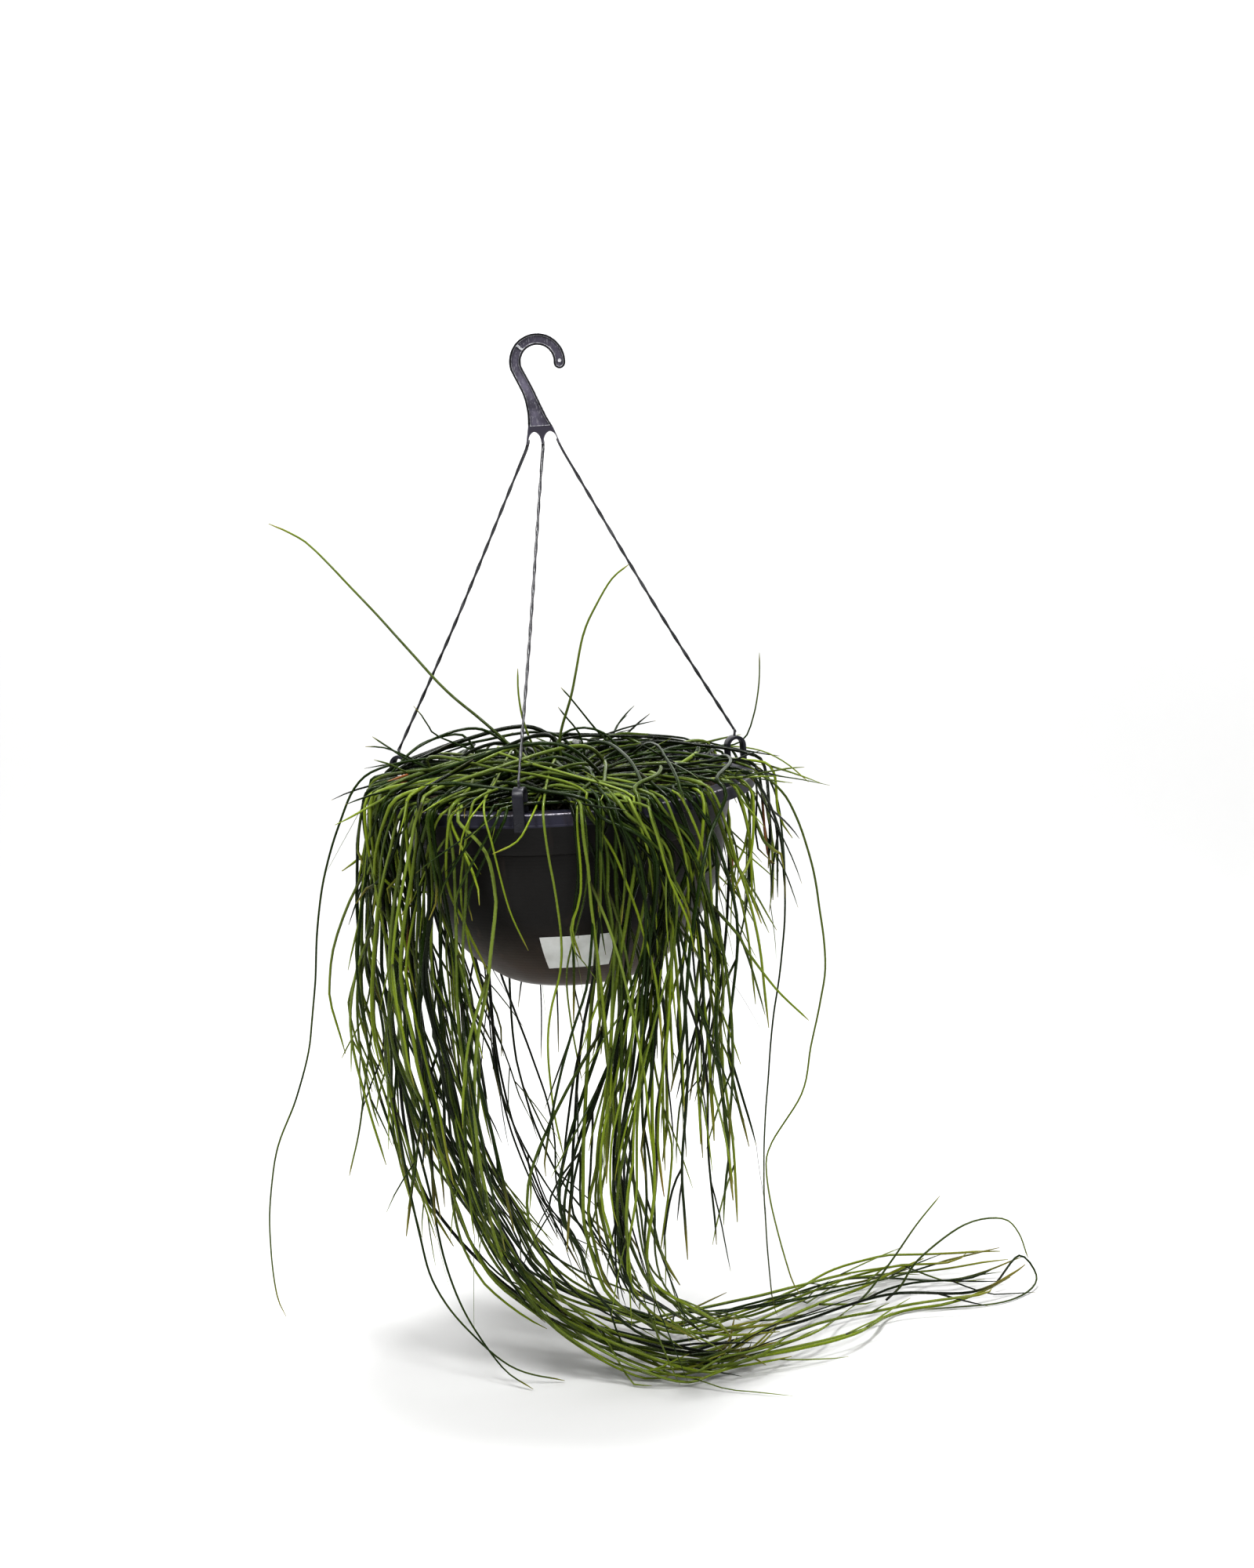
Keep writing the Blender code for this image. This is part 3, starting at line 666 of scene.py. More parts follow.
def turned(name: str, outline: Sequence[Pair], sides: int) -> Mesh:
    """A closed solid of revolution about Z.

    Args:
        name: the mesh's name.
        outline: (radius, height) points from the axis at the bottom, round the outside, back to the axis.
        sides: how many steps go round.

    Returns:
        The mesh, with faces outwards.
    """
    turns = [math.tau * k / sides for k in range(sides)]
    points = [(radius * math.cos(turn), radius * math.sin(turn), height)
              for radius, height in outline[1:-1] for turn in turns]
    poles = [(0.0, 0.0, outline[0][1]), (0.0, 0.0, outline[-1][1])]
    bottom, top = len(points), len(points) + 1
    pairs = [(k, (k + 1) % sides) for k in range(sides)]
    faces = [(low + this, low + after, low + sides + after, low + sides + this)
             for low in range(0, len(points) - sides, sides) for this, after in pairs]
    last = len(points) - sides
    faces += [(bottom, after, this) for this, after in pairs]
    faces += [(top, last + this, last + after) for this, after in pairs]
    return plain_mesh(name, points + poles, faces=faces)


def extruded(name: str, outline: Sequence[Pair], depth: float) -> Mesh:
    """A closed plate from an outline in the XZ plane.

    Args:
        name: the mesh's name.
        outline: (x, z) points in order.
        depth: the plate's thickness along Y, about its middle.

    Returns:
        The mesh, with faces outwards.
    """
    after = [*outline[1:], outline[0]]
    area = sum(x * next_z - next_x * z for (x, z), (next_x, next_z) in zip(outline, after))
    ring = list(outline) if area > 0 else list(reversed(outline))
    count = len(ring)
    points = [(x, y, z) for y in (-depth / 2, depth / 2) for x, z in ring]
    faces = [tuple(range(count)), tuple(range(2 * count - 1, count - 1, -1))]
    faces += [(k, count + k, count + (k + 1) % count, (k + 1) % count) for k in range(count)]
    return plain_mesh(name, points, faces=faces)


def arc(radius: float, start: float, end: float, count: int, centre: Pair = (0.0, 0.0)) -> list[Pair]:
    """Points on a circle round a centre, from one angle in radians to another."""
    return [(centre[0] + radius * math.cos(a), centre[1] + radius * math.sin(a))
            for a in np.linspace(start, end, count)]


def filleted(points: Sequence[Pair], radius: float, steps: int) -> list[Pair]:
    """An open outline with its inner corners rounded.

    Args:
        points: the outline's corners.
        radius: the rounding, cut down where an edge is short.
        steps: how many edges a rounding has.

    Returns:
        The rounded outline.
    """
    corners = [Vector(p) for p in points]
    found = [corners[0]]
    for before, corner, after in zip(corners, corners[1:], corners[2:]):
        back, ahead = before - corner, after - corner
        reach = min(radius, LONGEST_CUT * back.length, LONGEST_CUT * ahead.length)
        start, end = corner + back.normalized() * reach, corner + ahead.normalized() * reach
        for k in range(steps + 1):
            t = k / steps
            found.append(start * (1 - t) ** 2 + corner * 2 * t * (1 - t) + end * t**2)
    found.append(corners[-1])
    return [tuple(p) for p in found]


def smooth_route(points: Sequence, steps: Sequence[float]) -> np.ndarray:
    """Points on the Catmull-Rom curve through the given ones.

    Args:
        points: the route's own points.
        steps: the spacing along each stretch; the last one goes on.

    Returns:
        The curve's points, one row each.
    """
    knots = np.array(points, float)
    knots = np.vstack([2 * knots[0] - knots[1], knots, 2 * knots[-1] - knots[-2]])
    found = []
    for k in range(1, len(knots) - 2):
        a, b, c, d = knots[k - 1:k + 3]
        step = steps[min(k - 1, len(steps) - 1)]
        count = max(1, round(float(np.linalg.norm(c - b)) / step))
        t = (np.arange(count) / count)[:, None]
        found.append(0.5 * (2 * b + (c - a) * t + (2 * a - 5 * b + 4 * c - d) * t**2
                            + (3 * b - a - 3 * c + d) * t**3))
    return np.vstack([*found, knots[-2][None]])


# ---- the pot's own axes


def heading(azimuth: float) -> np.ndarray:
    """The direction of an azimuth, as (x, y)."""
    turn = math.radians(azimuth)
    return np.array((math.sin(turn), -math.cos(turn)))


class PotAxes:
    """The axes of the pot, which hangs a little out of plumb."""

    def __init__(self, record: dict) -> None:
        """Takes the pot's base and axis from its mount.

        Args:
            record: the model's record.
        """
        mount = next(m for m in record["mounts"] if m["name"] == "pot_base")
        self.base = Vector(mount["pos_m"])
        self.up = -Vector(mount["axis"]).normalized()
        self.right = Vector((0, 1, 0)).cross(self.up)
        self.tilt = math.atan2(self.up.x, self.up.z)

    def turn(self) -> Matrix:
        """The turn from upright to hanging."""
        return Matrix((self.right, (0, 1, 0), self.up)).transposed().to_4x4()

    def matrix(self) -> Matrix:
        """The place of something that is built on the pot's base at the origin."""
        return Matrix.Translation(self.base) @ self.turn()

    def point(self, radius: float, azimuth: float, height: float) -> np.ndarray:
        """A world point from the pot's own measures."""
        return self.spot(radius * heading(azimuth), height)

    def spot(self, place: np.ndarray, height: float) -> np.ndarray:
        """A world point from a place over the pot's base, as (x, y), and a height."""
        return np.array(self.matrix() @ Vector((place[0], place[1], height)))

    def measures(self, points: np.ndarray) -> tuple[np.ndarray, np.ndarray, np.ndarray]:
        """How far world points are to the right and back of the axis, and their heights over the base."""
        apart = points - np.array(self.base)
        return apart @ np.array(self.right), apart[:, 1], apart @ np.array(self.up)

    def world(self, x: np.ndarray, y: np.ndarray, height: np.ndarray) -> np.ndarray:
        """World points from the distances that measures() gives."""
        return np.array(self.base) + np.stack((x, y, height), 1) @ np.array((self.right, (0, 1, 0), self.up))


# ---- the hanger


@dataclass
class Hanger:
    """The moulded hook with its yoke, three twisted strands, and the clips on the rim."""

    axes: PotAxes
    rim_radius: float = 0.133
    rim_height: float = 0.136
    rim_band: float = 0.009
    # the hook: a plate with a raised rib round a recessed web
    inner_radius: float = 0.0112
    outer_radius: float = 0.0194
    thickness: float = 0.005
    web_recess: float = 0.0015
    edge_rib: float = 0.0017
    rib_round: float = 0.0005
    tip_angle: float = math.radians(-6)
    shank_angle: float = math.radians(195)
    shank_left: tuple = ((-0.0152, -0.013), (-0.0109, -0.0226), (-0.009, -0.035))
    shank_right: tuple = ((0.0041, -0.0378), (-0.0043, -0.0169), (-0.0093, -0.0063))
    shank_fillet: float = 0.006
    cross_angle: float = math.radians(138)
    cross_half: float = 0.0008
    cross_room: float = 0.0012
    dot_angle: float = 0.1
    dot_radius: float = 0.0013
    # the yoke: three legs with arches between them
    yoke_shoulders: tuple = ((-0.0094, -0.044), (0.008, -0.045))
    yoke_bottom: float = -0.05
    yoke_exits: tuple = (-0.009, 0.0, 0.009)
    exit_half: float = 0.0009
    arch_top: float = -0.0478
    arch_end: float = 0.12
    arch_powers: Pair = (1.25, 0.8)
    leg_bottom: float = -0.056
    leg_slants: tuple = (-0.0016, 0.0, 0.0022)
    recess_bottom: float = -0.0435
    recess_span: Pair = (-0.0092, 0.0072)
    strand_half: Pair = (0.00118, 0.0008)
    strand_root: float = 0.003
    strand_step: float = 0.0025
    strap: Colour = (0.026, 0.026, 0.03)
    strap_worn: Colour = (0.14, 0.14, 0.15)
    twist_pitch: float = 0.03
    flat_start: float = 0.025
    clip_width: float = 0.0077
    clip_thickness: float = 0.0024
    clip_arch_top: float = 0.0182
    clip_arch_radius: float = 0.0072
    clip_grip: float = 0.0022
    clip_lip: float = 0.002
    clip_round: float = 0.0005
    touch_gap: float = 0.0003
    azimuths: ClassVar[dict] = {"left": -112.0, "front": -12.0, "right": 109.0}

    def outline(self, inset: float) -> list[Pair]:
        """The hook's outline about the crook's centre.

        Args:
            inset: how far it is drawn inwards.

        Returns:
            The (x, z) points in order.
        """
        inner, outer = self.inner_radius + inset, self.outer_radius - inset
        tip = self.on_crook(self.tip_angle, (inner + outer) / 2)
        left = [(x + inset, z) for x, z in self.shank_left]
        right = [(x - inset, z) for x, z in self.shank_right]
        last = arc(outer, self.tip_angle, self.shank_angle, 44)
        first = arc(inner, self.shank_angle, self.tip_angle, 36)
        bottom = self.bottom(inset)
        return [
            *last,
            *filleted([last[-1], *left, bottom[0]], self.shank_fillet, 5)[1:-1],
            *bottom,
            *filleted([bottom[-1], *right, first[0]], self.shank_fillet, 5)[1:-1],
            *first,
            *arc((outer - inner) / 2, self.tip_angle - math.pi + 0.2, self.tip_angle - 0.2, 11, tip),
        ]

    @staticmethod
    def on_crook(angle: float, radius: float) -> Pair:
        """A place on the crook, as (x, z)."""
        return radius * math.cos(angle), radius * math.sin(angle)

    def bottom(self, inset: float) -> list[Pair]:
        """The yoke's lower edge, left to right: three legs with an arch between them, or the web's plain edge.

        Args:
            inset: how far it is drawn inwards; 0 is the yoke's own edge.

        Returns:
            The (x, z) points in order.
        """
        if inset:
            left, right = self.recess_span
            return [(left + inset, self.recess_bottom), (right - inset, self.recess_bottom)]
        edge = [self.yoke_shoulders[0]]
        flat, steep = self.arch_powers
        rise = self.arch_top - self.leg_bottom
        turns = np.linspace(self.arch_end, math.pi - self.arch_end, 15)
        feet = [exit_x + slant for exit_x, slant in zip(self.yoke_exits, self.leg_slants)]
        for foot, after in zip(feet, [*feet[1:], None]):
            edge += [(foot - self.exit_half, self.leg_bottom), (foot + self.exit_half, self.leg_bottom)]
            if after is not None:
                middle, half = (foot + after) / 2, (after - foot) / 2 - self.exit_half
                edge += [(middle - half * math.copysign(abs(math.cos(a)) ** flat, math.cos(a)),
                          self.leg_bottom + rise * math.sin(a) ** steep) for a in turns]
        return [*edge, self.yoke_shoulders[1]]

    def hook(self) -> Object:
        """Builds the hook: a plate with a recessed web, a cross rib, a dot at the tip, and soft edges.

        Returns:
            The hook, in its hanging place.
        """
        hook = mesh_object("hook", extruded("hook", self.outline(0.0), self.thickness))
        hook.data.shade_smooth()
        tools = []
        for side in (-1, 1):
            tool = mesh_object("web", extruded("web", self.outline(self.edge_rib), self.web_recess * 2))
            tool.location.y = side * self.thickness / 2
            cut = hook.modifiers.new("web", "BOOLEAN")
            cut.object = tool
            cut.operation = "DIFFERENCE"
            cut.solver = "EXACT"
            tools.append(tool)
        softened(hook, self.rib_round, clamped=False)
        hook.modifiers.new("even", "WEIGHTED_NORMAL").keep_sharp = False
        applied(hook)
        for tool in tools:
            bpy.data.objects.remove(tool)
        half, wide = self.cross_half, (self.outer_radius - self.inner_radius - self.cross_room) / 2
        bar = filleted([(-wide, -half), (wide, -half), (wide, half), (-wide, half)], half / 2, 2)
        rib = self.boss("cross_rib", bar, self.cross_angle, 0.92)
        rib.rotation_euler.y = -self.cross_angle
        circle = arc(self.dot_radius, 0.0, math.tau * 15 / 16, 16)
        dot = self.boss("tip_dot", circle, self.tip_angle + self.dot_angle, 0.84)
        joined(hook, [rib, dot])
        hook.data.transform(self.axes.turn() @ Matrix.Translation((0, 0, -self.inner_radius)))
        return hook

    def boss(self, name: str, outline: Sequence[Pair], angle: float, share: float) -> Object:
        """A raised mark that goes through the web.

        Args:
            name: its name.
            outline: its (x, z) points.
            angle: where it stands on the crook, in radians.
            share: how much of the plate's thickness it has.

        Returns:
            The mark, at its place.
        """
        mark = mesh_object(name, extruded(name, outline, self.thickness * share))
        mark.location.x, mark.location.z = self.on_crook(angle, (self.inner_radius + self.outer_radius) / 2)
        return mark

    def clip_outline(self) -> list[Pair]:
        """The clip's side view.

        Returns:
            The (radius, height over the pot's base) points in order.
        """
        outer_leg = self.rim_radius + self.touch_gap
        middle = outer_leg + self.clip_thickness - self.clip_arch_radius
        inner_leg = middle - self.clip_arch_radius
        foot = self.rim_height + self.touch_gap
        tip = self.rim_radius - self.clip_grip
        hook_top = self.rim_height - self.rim_band - self.touch_gap
        centre = (middle, self.rim_height + self.clip_arch_top - self.clip_arch_radius)
        return [
            (tip, hook_top),
            (tip, hook_top - self.clip_lip),
            (outer_leg + self.clip_thickness, hook_top - self.clip_lip),
            *arc(self.clip_arch_radius, 0.0, math.pi, 20, centre),
            (inner_leg, foot),
            (inner_leg + self.clip_thickness, foot),
            *arc(self.clip_arch_radius - self.clip_thickness, math.pi, 0.0, 16, centre),
            (outer_leg, hook_top),
        ]

    def clip(self, side: str) -> Object:
        """Builds one clip, an arch that stands on the rim and hooks under its band.

        Args:
            side: which of the three it is.

        Returns:
            The clip, in its hanging place.
        """
        clip = mesh_object(f"clip_{side}", extruded("clip", self.clip_outline(), self.clip_width))
        softened(clip, self.clip_round)
        applied(clip)
        turn = Matrix.Rotation(math.radians(self.azimuths[side] - 90), 4, "Z")
        clip.data.transform(self.axes.matrix() @ turn)
        shaded(clip.data)
        return clip

    def strand_route(self, side: str, exit_x: float) -> np.ndarray:
        """The middle line of one strand in the hanging frame.

        Args:
            side: which of the three it is.
            exit_x: where it leaves the yoke.

        Returns:
            Its points, from inside the yoke's leg to its clip.
        """
        slant = self.leg_slants[self.yoke_exits.index(exit_x)]
        top = Vector((exit_x + slant, 0, -self.inner_radius + self.leg_bottom))
        radius = self.rim_radius + self.touch_gap + self.clip_thickness - self.clip_arch_radius
        turn = self.axes.turn()
        place = self.axes.point(radius, self.azimuths[side], self.rim_height + self.clip_arch_top)
        foot = turn.inverted() @ Vector(place)
        inwards = Vector((*-heading(self.azimuths[side]), 0))
        way = Vector((slant, 0, self.leg_bottom - self.yoke_bottom)).normalized() * self.strand_root
        route = [
            top - way,
            top + way,
            top.lerp(foot, 0.1) - Vector((0, 0, 0.0015)),
            top.lerp(foot, 0.55) - Vector((0, 0, 0.002)),
            foot + inwards * 0.0045 + Vector((0, 0, 0.012)),
            foot + Vector((0, 0, 0.004)),
            foot,
        ]
        return smooth_route([turn @ point for point in route], [self.strand_step])

    def build(self) -> None:
        """Builds and dresses every piece of the hanger."""
        moulding = PlasticFinish("anthracite_moulding").make()
        dress(self.hook(), HookFinish("anthracite_hook").make(), ["hanger_hook"])
        sweeper = TwistedStrap(self.strand_half, self.twist_pitch, self.flat_start)
        strap_finish = PlasticFinish("anthracite_strap", self.strap, self.strap_worn, 0.22, gloss=0.65).make()
        for side, exit_x in zip(self.azimuths, self.yoke_exits):
            strand = sweeper.build(f"strand_{side}", self.strand_route(side, exit_x))
            dress(strand, strap_finish, [f"hanger_strand_{side}"])
            dress(self.clip(side), moulding, [f"rim_clip_{side}"])


# ---- geometry node trees


class GeometryTree:
    """A geometry node tree with named inputs, which is run on an object once."""

    def __init__(self, name: str, inputs: dict[str, float | int | Material]) -> None:
        """Starts the tree.

        Args:
            name: the tree's name.
            inputs: each input's value, by name; its kind follows from the value.
        """
        self.tree = bpy.data.node_groups.new(name, "GeometryNodeTree")
        face = self.tree.interface
        face.new_socket("Geometry", in_out="INPUT", socket_type="NodeSocketGeometry")
        kinds = {float: "NodeSocketFloat", int: "NodeSocketInt"}
        self.values = {}
        for key, value in inputs.items():
            kind = kinds.get(type(value), "NodeSocketMaterial")
            self.values[face.new_socket(key, in_out="INPUT", socket_type=kind).identifier] = value
        face.new_socket("Geometry", in_out="OUTPUT", socket_type="NodeSocketGeometry")
        self.graph = Graph(self.tree)
        self.source = self.tree.nodes.new("NodeGroupInput")

    def input(self, name: str) -> Link:
        """One of the tree's inputs, by name."""
        return Link(self.graph, self.source.outputs[name])

    def close(self, geometry: Link) -> None:
        """Ends the tree with real geometry that has the finish given as an input.

        Args:
            geometry: what the tree has made.
        """
        plain = self.graph.add("GeometryNodeRealizeInstances", {}, {"Geometry": geometry})
        finish = {"Geometry": plain, "Material": self.input("Finish")}
        dressed = self.graph.add("GeometryNodeSetMaterial", {}, finish)
        output = self.tree.nodes.new("NodeGroupOutput")
        self.tree.links.new(dressed.socket, output.inputs["Geometry"])

    def run(self, obj: Object) -> None:
        """Runs the tree on an object and leaves the plain result in it.

        Args:
            obj: the object, whose mesh is the tree's geometry.
        """
        modifier = obj.modifiers.new(self.tree.name, "NODES")
        modifier.node_group = self.tree
        for identifier, value in self.values.items():
            modifier[identifier] = value
        applied(obj)


class TwistedStrap(GeometryTree):
    """A flat strap that is swept along a route and twists as it goes."""

    def __init__(self, half: Pair, pitch: float, flat: float) -> None:
        """Builds the tree.

        Args:
            half: half the strap's width and half its thickness.
            pitch: the length of one whole turn.
            flat: the length at the start that doesn't twist yet.
        """
        super().__init__("twisted_strap", {
            "Half Width": half[0], "Half Thickness": half[1], "Pitch": pitch, "Flat": flat, "Finish": None,
        })
        graph = self.graph
        curve = graph.add("GeometryNodeMeshToCurve", {}, {"Mesh": self.input("Geometry")})
        length = graph.add("GeometryNodeSplineParameter", out="Length")
        twisting = graph.math("MAXIMUM", length - self.input("Flat"), 0.0)
        tilt = twisting / self.input("Pitch") * math.tau
        tilted = graph.add("GeometryNodeSetCurveTilt", {}, {"Curve": curve, "Tilt": tilt})
        ring = graph.add("GeometryNodeCurvePrimitiveCircle", {}, {"Resolution": 12, "Radius": 1.0}, "Curve")
        sizes = {"X": self.input("Half Width"), "Y": self.input("Half Thickness"), "Z": 1.0}
        scale = graph.add("ShaderNodeCombineXYZ", {}, sizes)
        profile = graph.add("GeometryNodeTransform", {}, {"Geometry": ring, "Scale": scale})
        swept = {"Curve": tilted, "Profile Curve": profile, "Fill Caps": True}
        tube = graph.add("GeometryNodeCurveToMesh", {}, swept)
        self.close(graph.add("GeometryNodeSetShadeSmooth", {}, {"Geometry": tube}))

    def build(self, name: str, route: np.ndarray) -> Object:
        """Sweeps one strap.

        Args:
            name: the piece's name.
            route: the strap's middle line.

        Returns:
            The piece.
        """
        edges = [(k, k + 1) for k in range(len(route) - 1)]
        strand = mesh_object(name, plain_mesh(name, route.tolist(), edges))
        self.run(strand)
        return strand


class StemTubes(GeometryTree):
    """Round stems that are swept along the edges of a mesh, by the thickness that each point holds."""

    def __init__(self, finish: Material) -> None:
        """Builds the tree.

        Args:
            finish: the stems' material.
        """
        super().__init__("stem_tubes", {
            "Sides": 6, "Stoutness": 1.0, "Wobble": 0.0009, "Seed": 11, "Finish": finish,
        })
        graph = self.graph
        place = graph.add("GeometryNodeInputPosition")
        waves = {"Vector": place, "W": self.input("Seed"), "Scale": 15.0, "Detail": 1.0}
        noise = graph.add("ShaderNodeTexNoise", {"noise_dimensions": "4D"}, waves, "Color")
        centred = graph.add("ShaderNodeVectorMath", {"operation": "SUBTRACT"}, {0: noise, 1: (0.5, 0.5, 0.5)})
        shift = graph.add("ShaderNodeVectorMath", {"operation": "SCALE"},
                          {"Vector": centred, "Scale": self.input("Wobble") * 4.0}, "Vector")
        bent = graph.add("GeometryNodeSetPosition", {}, {"Geometry": self.input("Geometry"), "Offset": shift})
        curve = graph.add("GeometryNodeMeshToCurve", {}, {"Mesh": bent})
        circle = {"Resolution": self.input("Sides"), "Radius": 1.0}
        ring = graph.add("GeometryNodeCurvePrimitiveCircle", {}, circle, "Curve")
        around = graph.add("GeometryNodeSplineParameter", out="Factor")
        marked = {"Geometry": ring, "Name": "around", "Value": around}
        profile = graph.add("GeometryNodeStoreNamedAttribute", {}, marked)
        size = graph.add("GeometryNodeInputNamedAttribute", {}, {"Name": "thickness"})
        size = size * self.input("Stoutness")
        swept = {"Curve": curve, "Profile Curve": profile, "Scale": size, "Fill Caps": True}
        tube = graph.add("GeometryNodeCurveToMesh", {}, swept)
        self.close(graph.add("GeometryNodeSetShadeSmooth", {}, {"Geometry": tube}))


class Crumbs(GeometryTree):
    """Crumbs and bark chips that are scattered on a surface and joined to it."""

    def __init__(self, finish: Material) -> None:
        """Builds the tree.

        Args:
            finish: the soil's material.
        """
        super().__init__("crumbs", {
            "Density": 42000.0, "Least Size": 0.0006, "Largest Size": 0.0024, "Seed": 5, "Finish": finish,
        })
        graph = self.graph
        top = graph.add("GeometryNodeInputNamedAttribute", {"data_type": "BOOLEAN"}, {"Name": "open"})
        seed = self.input("Seed")
        given = self.input("Geometry")
        strewn = {"Mesh": given, "Selection": top, "Density": self.input("Density"), "Seed": seed}
        spots = graph.add("GeometryNodeDistributePointsOnFaces", {}, strewn, "Points")
        crumb = graph.add("GeometryNodeMeshIcoSphere", {}, {"Radius": 1.0, "Subdivisions": 1}, "Mesh")
        turn = graph.add("FunctionNodeRandomValue", {"data_type": "FLOAT_VECTOR"},
                         {"Min": (0, 0, 0), "Max": (math.tau,) * 3, "Seed": seed}, "Value")
        size = graph.add("FunctionNodeRandomValue", {}, {"Seed": seed + 1}, "Value_001")
        least = self.input("Least Size")
        scale = least + (self.input("Largest Size") - least) * size**3.0
        shape = graph.add("ShaderNodeCombineXYZ", {}, {"X": scale * 1.5, "Y": scale, "Z": scale * 0.7})
        placed = graph.add("GeometryNodeInstanceOnPoints", {},
                           {"Points": spots, "Instance": crumb, "Rotation": turn, "Scale": shape})
        join = graph.tree.nodes.new("GeometryNodeJoinGeometry")
        for part in (given, placed):
            graph.tree.links.new(part.socket, join.inputs["Geometry"])
        self.close(Link(graph, join.outputs["Geometry"]))


# ---- pot, soil and label


@dataclass
class Pot:
    """The bowl pot with its banded rim, the soil in it, and the label on its lower front."""

    axes: PotAxes
    height: float = 0.136
    rim_radius: float = 0.133
    rim_band: float = 0.009
    wall: float = 0.0016
    base_radius: float = 0.05
    bowl_radius: float = 0.11
    bowl_top: float = 0.1035
    step_out: float = 0.0015
    step_height: float = 0.001
    collar_top: float = 0.1185
    flange: float = 0.002
    foot: tuple = ((0.0, 0.0012), (0.034, 0.0012), (0.0352, 0.0), (0.0488, 0.0), (0.0512, 0.0011))
    groove: Pair = (0.0012, 0.0014)
    groove_depth: float = 0.0004
    groove_run: float = 0.0006
    soil_edge: float = 0.1215
    soil_centre: float = 0.1275
    soil_rough: float = 0.00088
    soil_room: float = 0.0004
    label_azimuths: Pair = (-13.0, 18.0)
    label_heights: Pair = (0.019, 0.045)
    label_gap: float = 0.0004
    label_lift: float = 0.0011
    label_loose: float = 0.12
    label_thickness: float = 0.00022
    sides: int = 160

    def bowl(self, height: float) -> float:
        """The bowl's radius at a height over the base.

        Args:
            height: the height.

        Returns:
            The outer radius.
        """
        share = self.base_radius / self.bowl_radius
        depth = self.bowl_top / math.sqrt(1 - share**2)
        return self.bowl_radius * math.sqrt(1 - ((self.bowl_top - height) / depth) ** 2)

    def collar(self, height: float) -> float:
        """The collar's radius at a height over the base.

        Args:
            height: the height, over the step.

        Returns:
            The outer radius.
        """
        low, top = self.bowl_top + self.step_height, self.height - self.flange
        start = self.bowl_radius + self.step_out
        return start + (self.collar_top - start) * (height - low) / (top - low)

    def outline(self) -> list[Pair]:
        """The pot's outline, from the base's middle round the outside to the inside's bottom.

        Returns:
            The (radius, height) points in order.
        """
        heights = [self.bowl_top * (k / 26) ** 1.4 for k in range(1, 27)]
        under, skirt = self.height - self.flange, self.height - self.rim_band
        inner_skirt, grooved = self.rim_radius - self.wall, self.rim_radius - self.groove_depth
        low, top = skirt + self.groove[0], self.height - self.groove[1]
        step, above = self.bowl_top + self.step_height, self.bowl_top + 0.004
        bowl = [(self.bowl(h), h) for h in heights if h > 0.002]
        shoulder = filleted([bowl[-1], (self.collar(step), step), (self.collar(above), above)], 0.0006, 3)
        band = filleted([
            (self.collar(under - 0.002), under - 0.002), (self.collar_top, under), (inner_skirt, under),
            (inner_skirt, skirt), (self.rim_radius, skirt), (self.rim_radius, low),
            (grooved, low + self.groove_run), (grooved, top - self.groove_run),
            (self.rim_radius, top), (self.rim_radius, self.height),
            (self.collar(self.height) - self.wall, self.height),
            (self.collar(self.bowl_top + 0.002) - self.wall, self.bowl_top + 0.002),
        ], 0.0005, 3)
        inside = [(self.bowl(h) - self.wall, h) for h in reversed(heights) if h > 0.008]
        floor = [(0.046, 0.003), (0.0, self.wall + 0.0012)]
        return [*self.foot, *bowl[:-1], *shoulder, *band, *inside, *floor]

    def pot(self) -> Object:
        """Builds the finely turned pot.

        Returns:
            The pot, in its hanging place.
        """
        pot = mesh_object("bowl_pot", turned("bowl_pot", self.outline(), self.sides))
        pot.data.transform(self.axes.matrix())
        shaded(pot.data, 50)
        return pot

    def soil_top(self, radius: float) -> float:
        """The soil's height over the base, without its roughness."""
        share = min(radius / (self.collar(self.soil_edge) - self.wall), 1.0)
        return self.soil_centre + (self.soil_edge - self.soil_centre) * share**1.5

    def soil(self, finish: Material) -> Object:
        """Builds the soil: a rough top with crumbs on it, and a plain body below.

        Args:
            finish: the soil's material.

        Returns:
            The soil, in its hanging place.
        """
        low = self.wall + 0.0016
        heights = np.linspace(low + 0.006, self.bowl_top, 12)
        edge = self.collar(self.soil_edge) - self.wall - self.soil_room
        wall = [(self.bowl(h) - self.wall - 0.0005, h) for h in heights]
        top = [(edge * k / 40, self.soil_top(edge * k / 40)) for k in range(40, 0, -1)]
        outline = [(0.0, low), (0.044, low), *wall, *top, (0.0, self.soil_centre)]
        soil = mesh_object("potting_soil", turned("potting_soil", outline, 120))
        mesh = soil.data
        rng = np.random.default_rng(31)
        for vertex in mesh.vertices:
            radius = math.hypot(vertex.co.x, vertex.co.y)
            if vertex.co.z > self.soil_edge - 0.001 and radius < edge - 0.002:
                vertex.co.z += rng.normal(0.0, self.soil_rough)
        is_open = [p.center.z > self.soil_edge and p.normal.z > 0.3 for p in mesh.polygons]
        mesh.attributes.new("open", "BOOLEAN", "FACE").data.foreach_set("value", is_open)
        Crumbs(finish).run(soil)
        soil.data.transform(self.axes.matrix())
        shaded(soil.data, 60)
        return soil

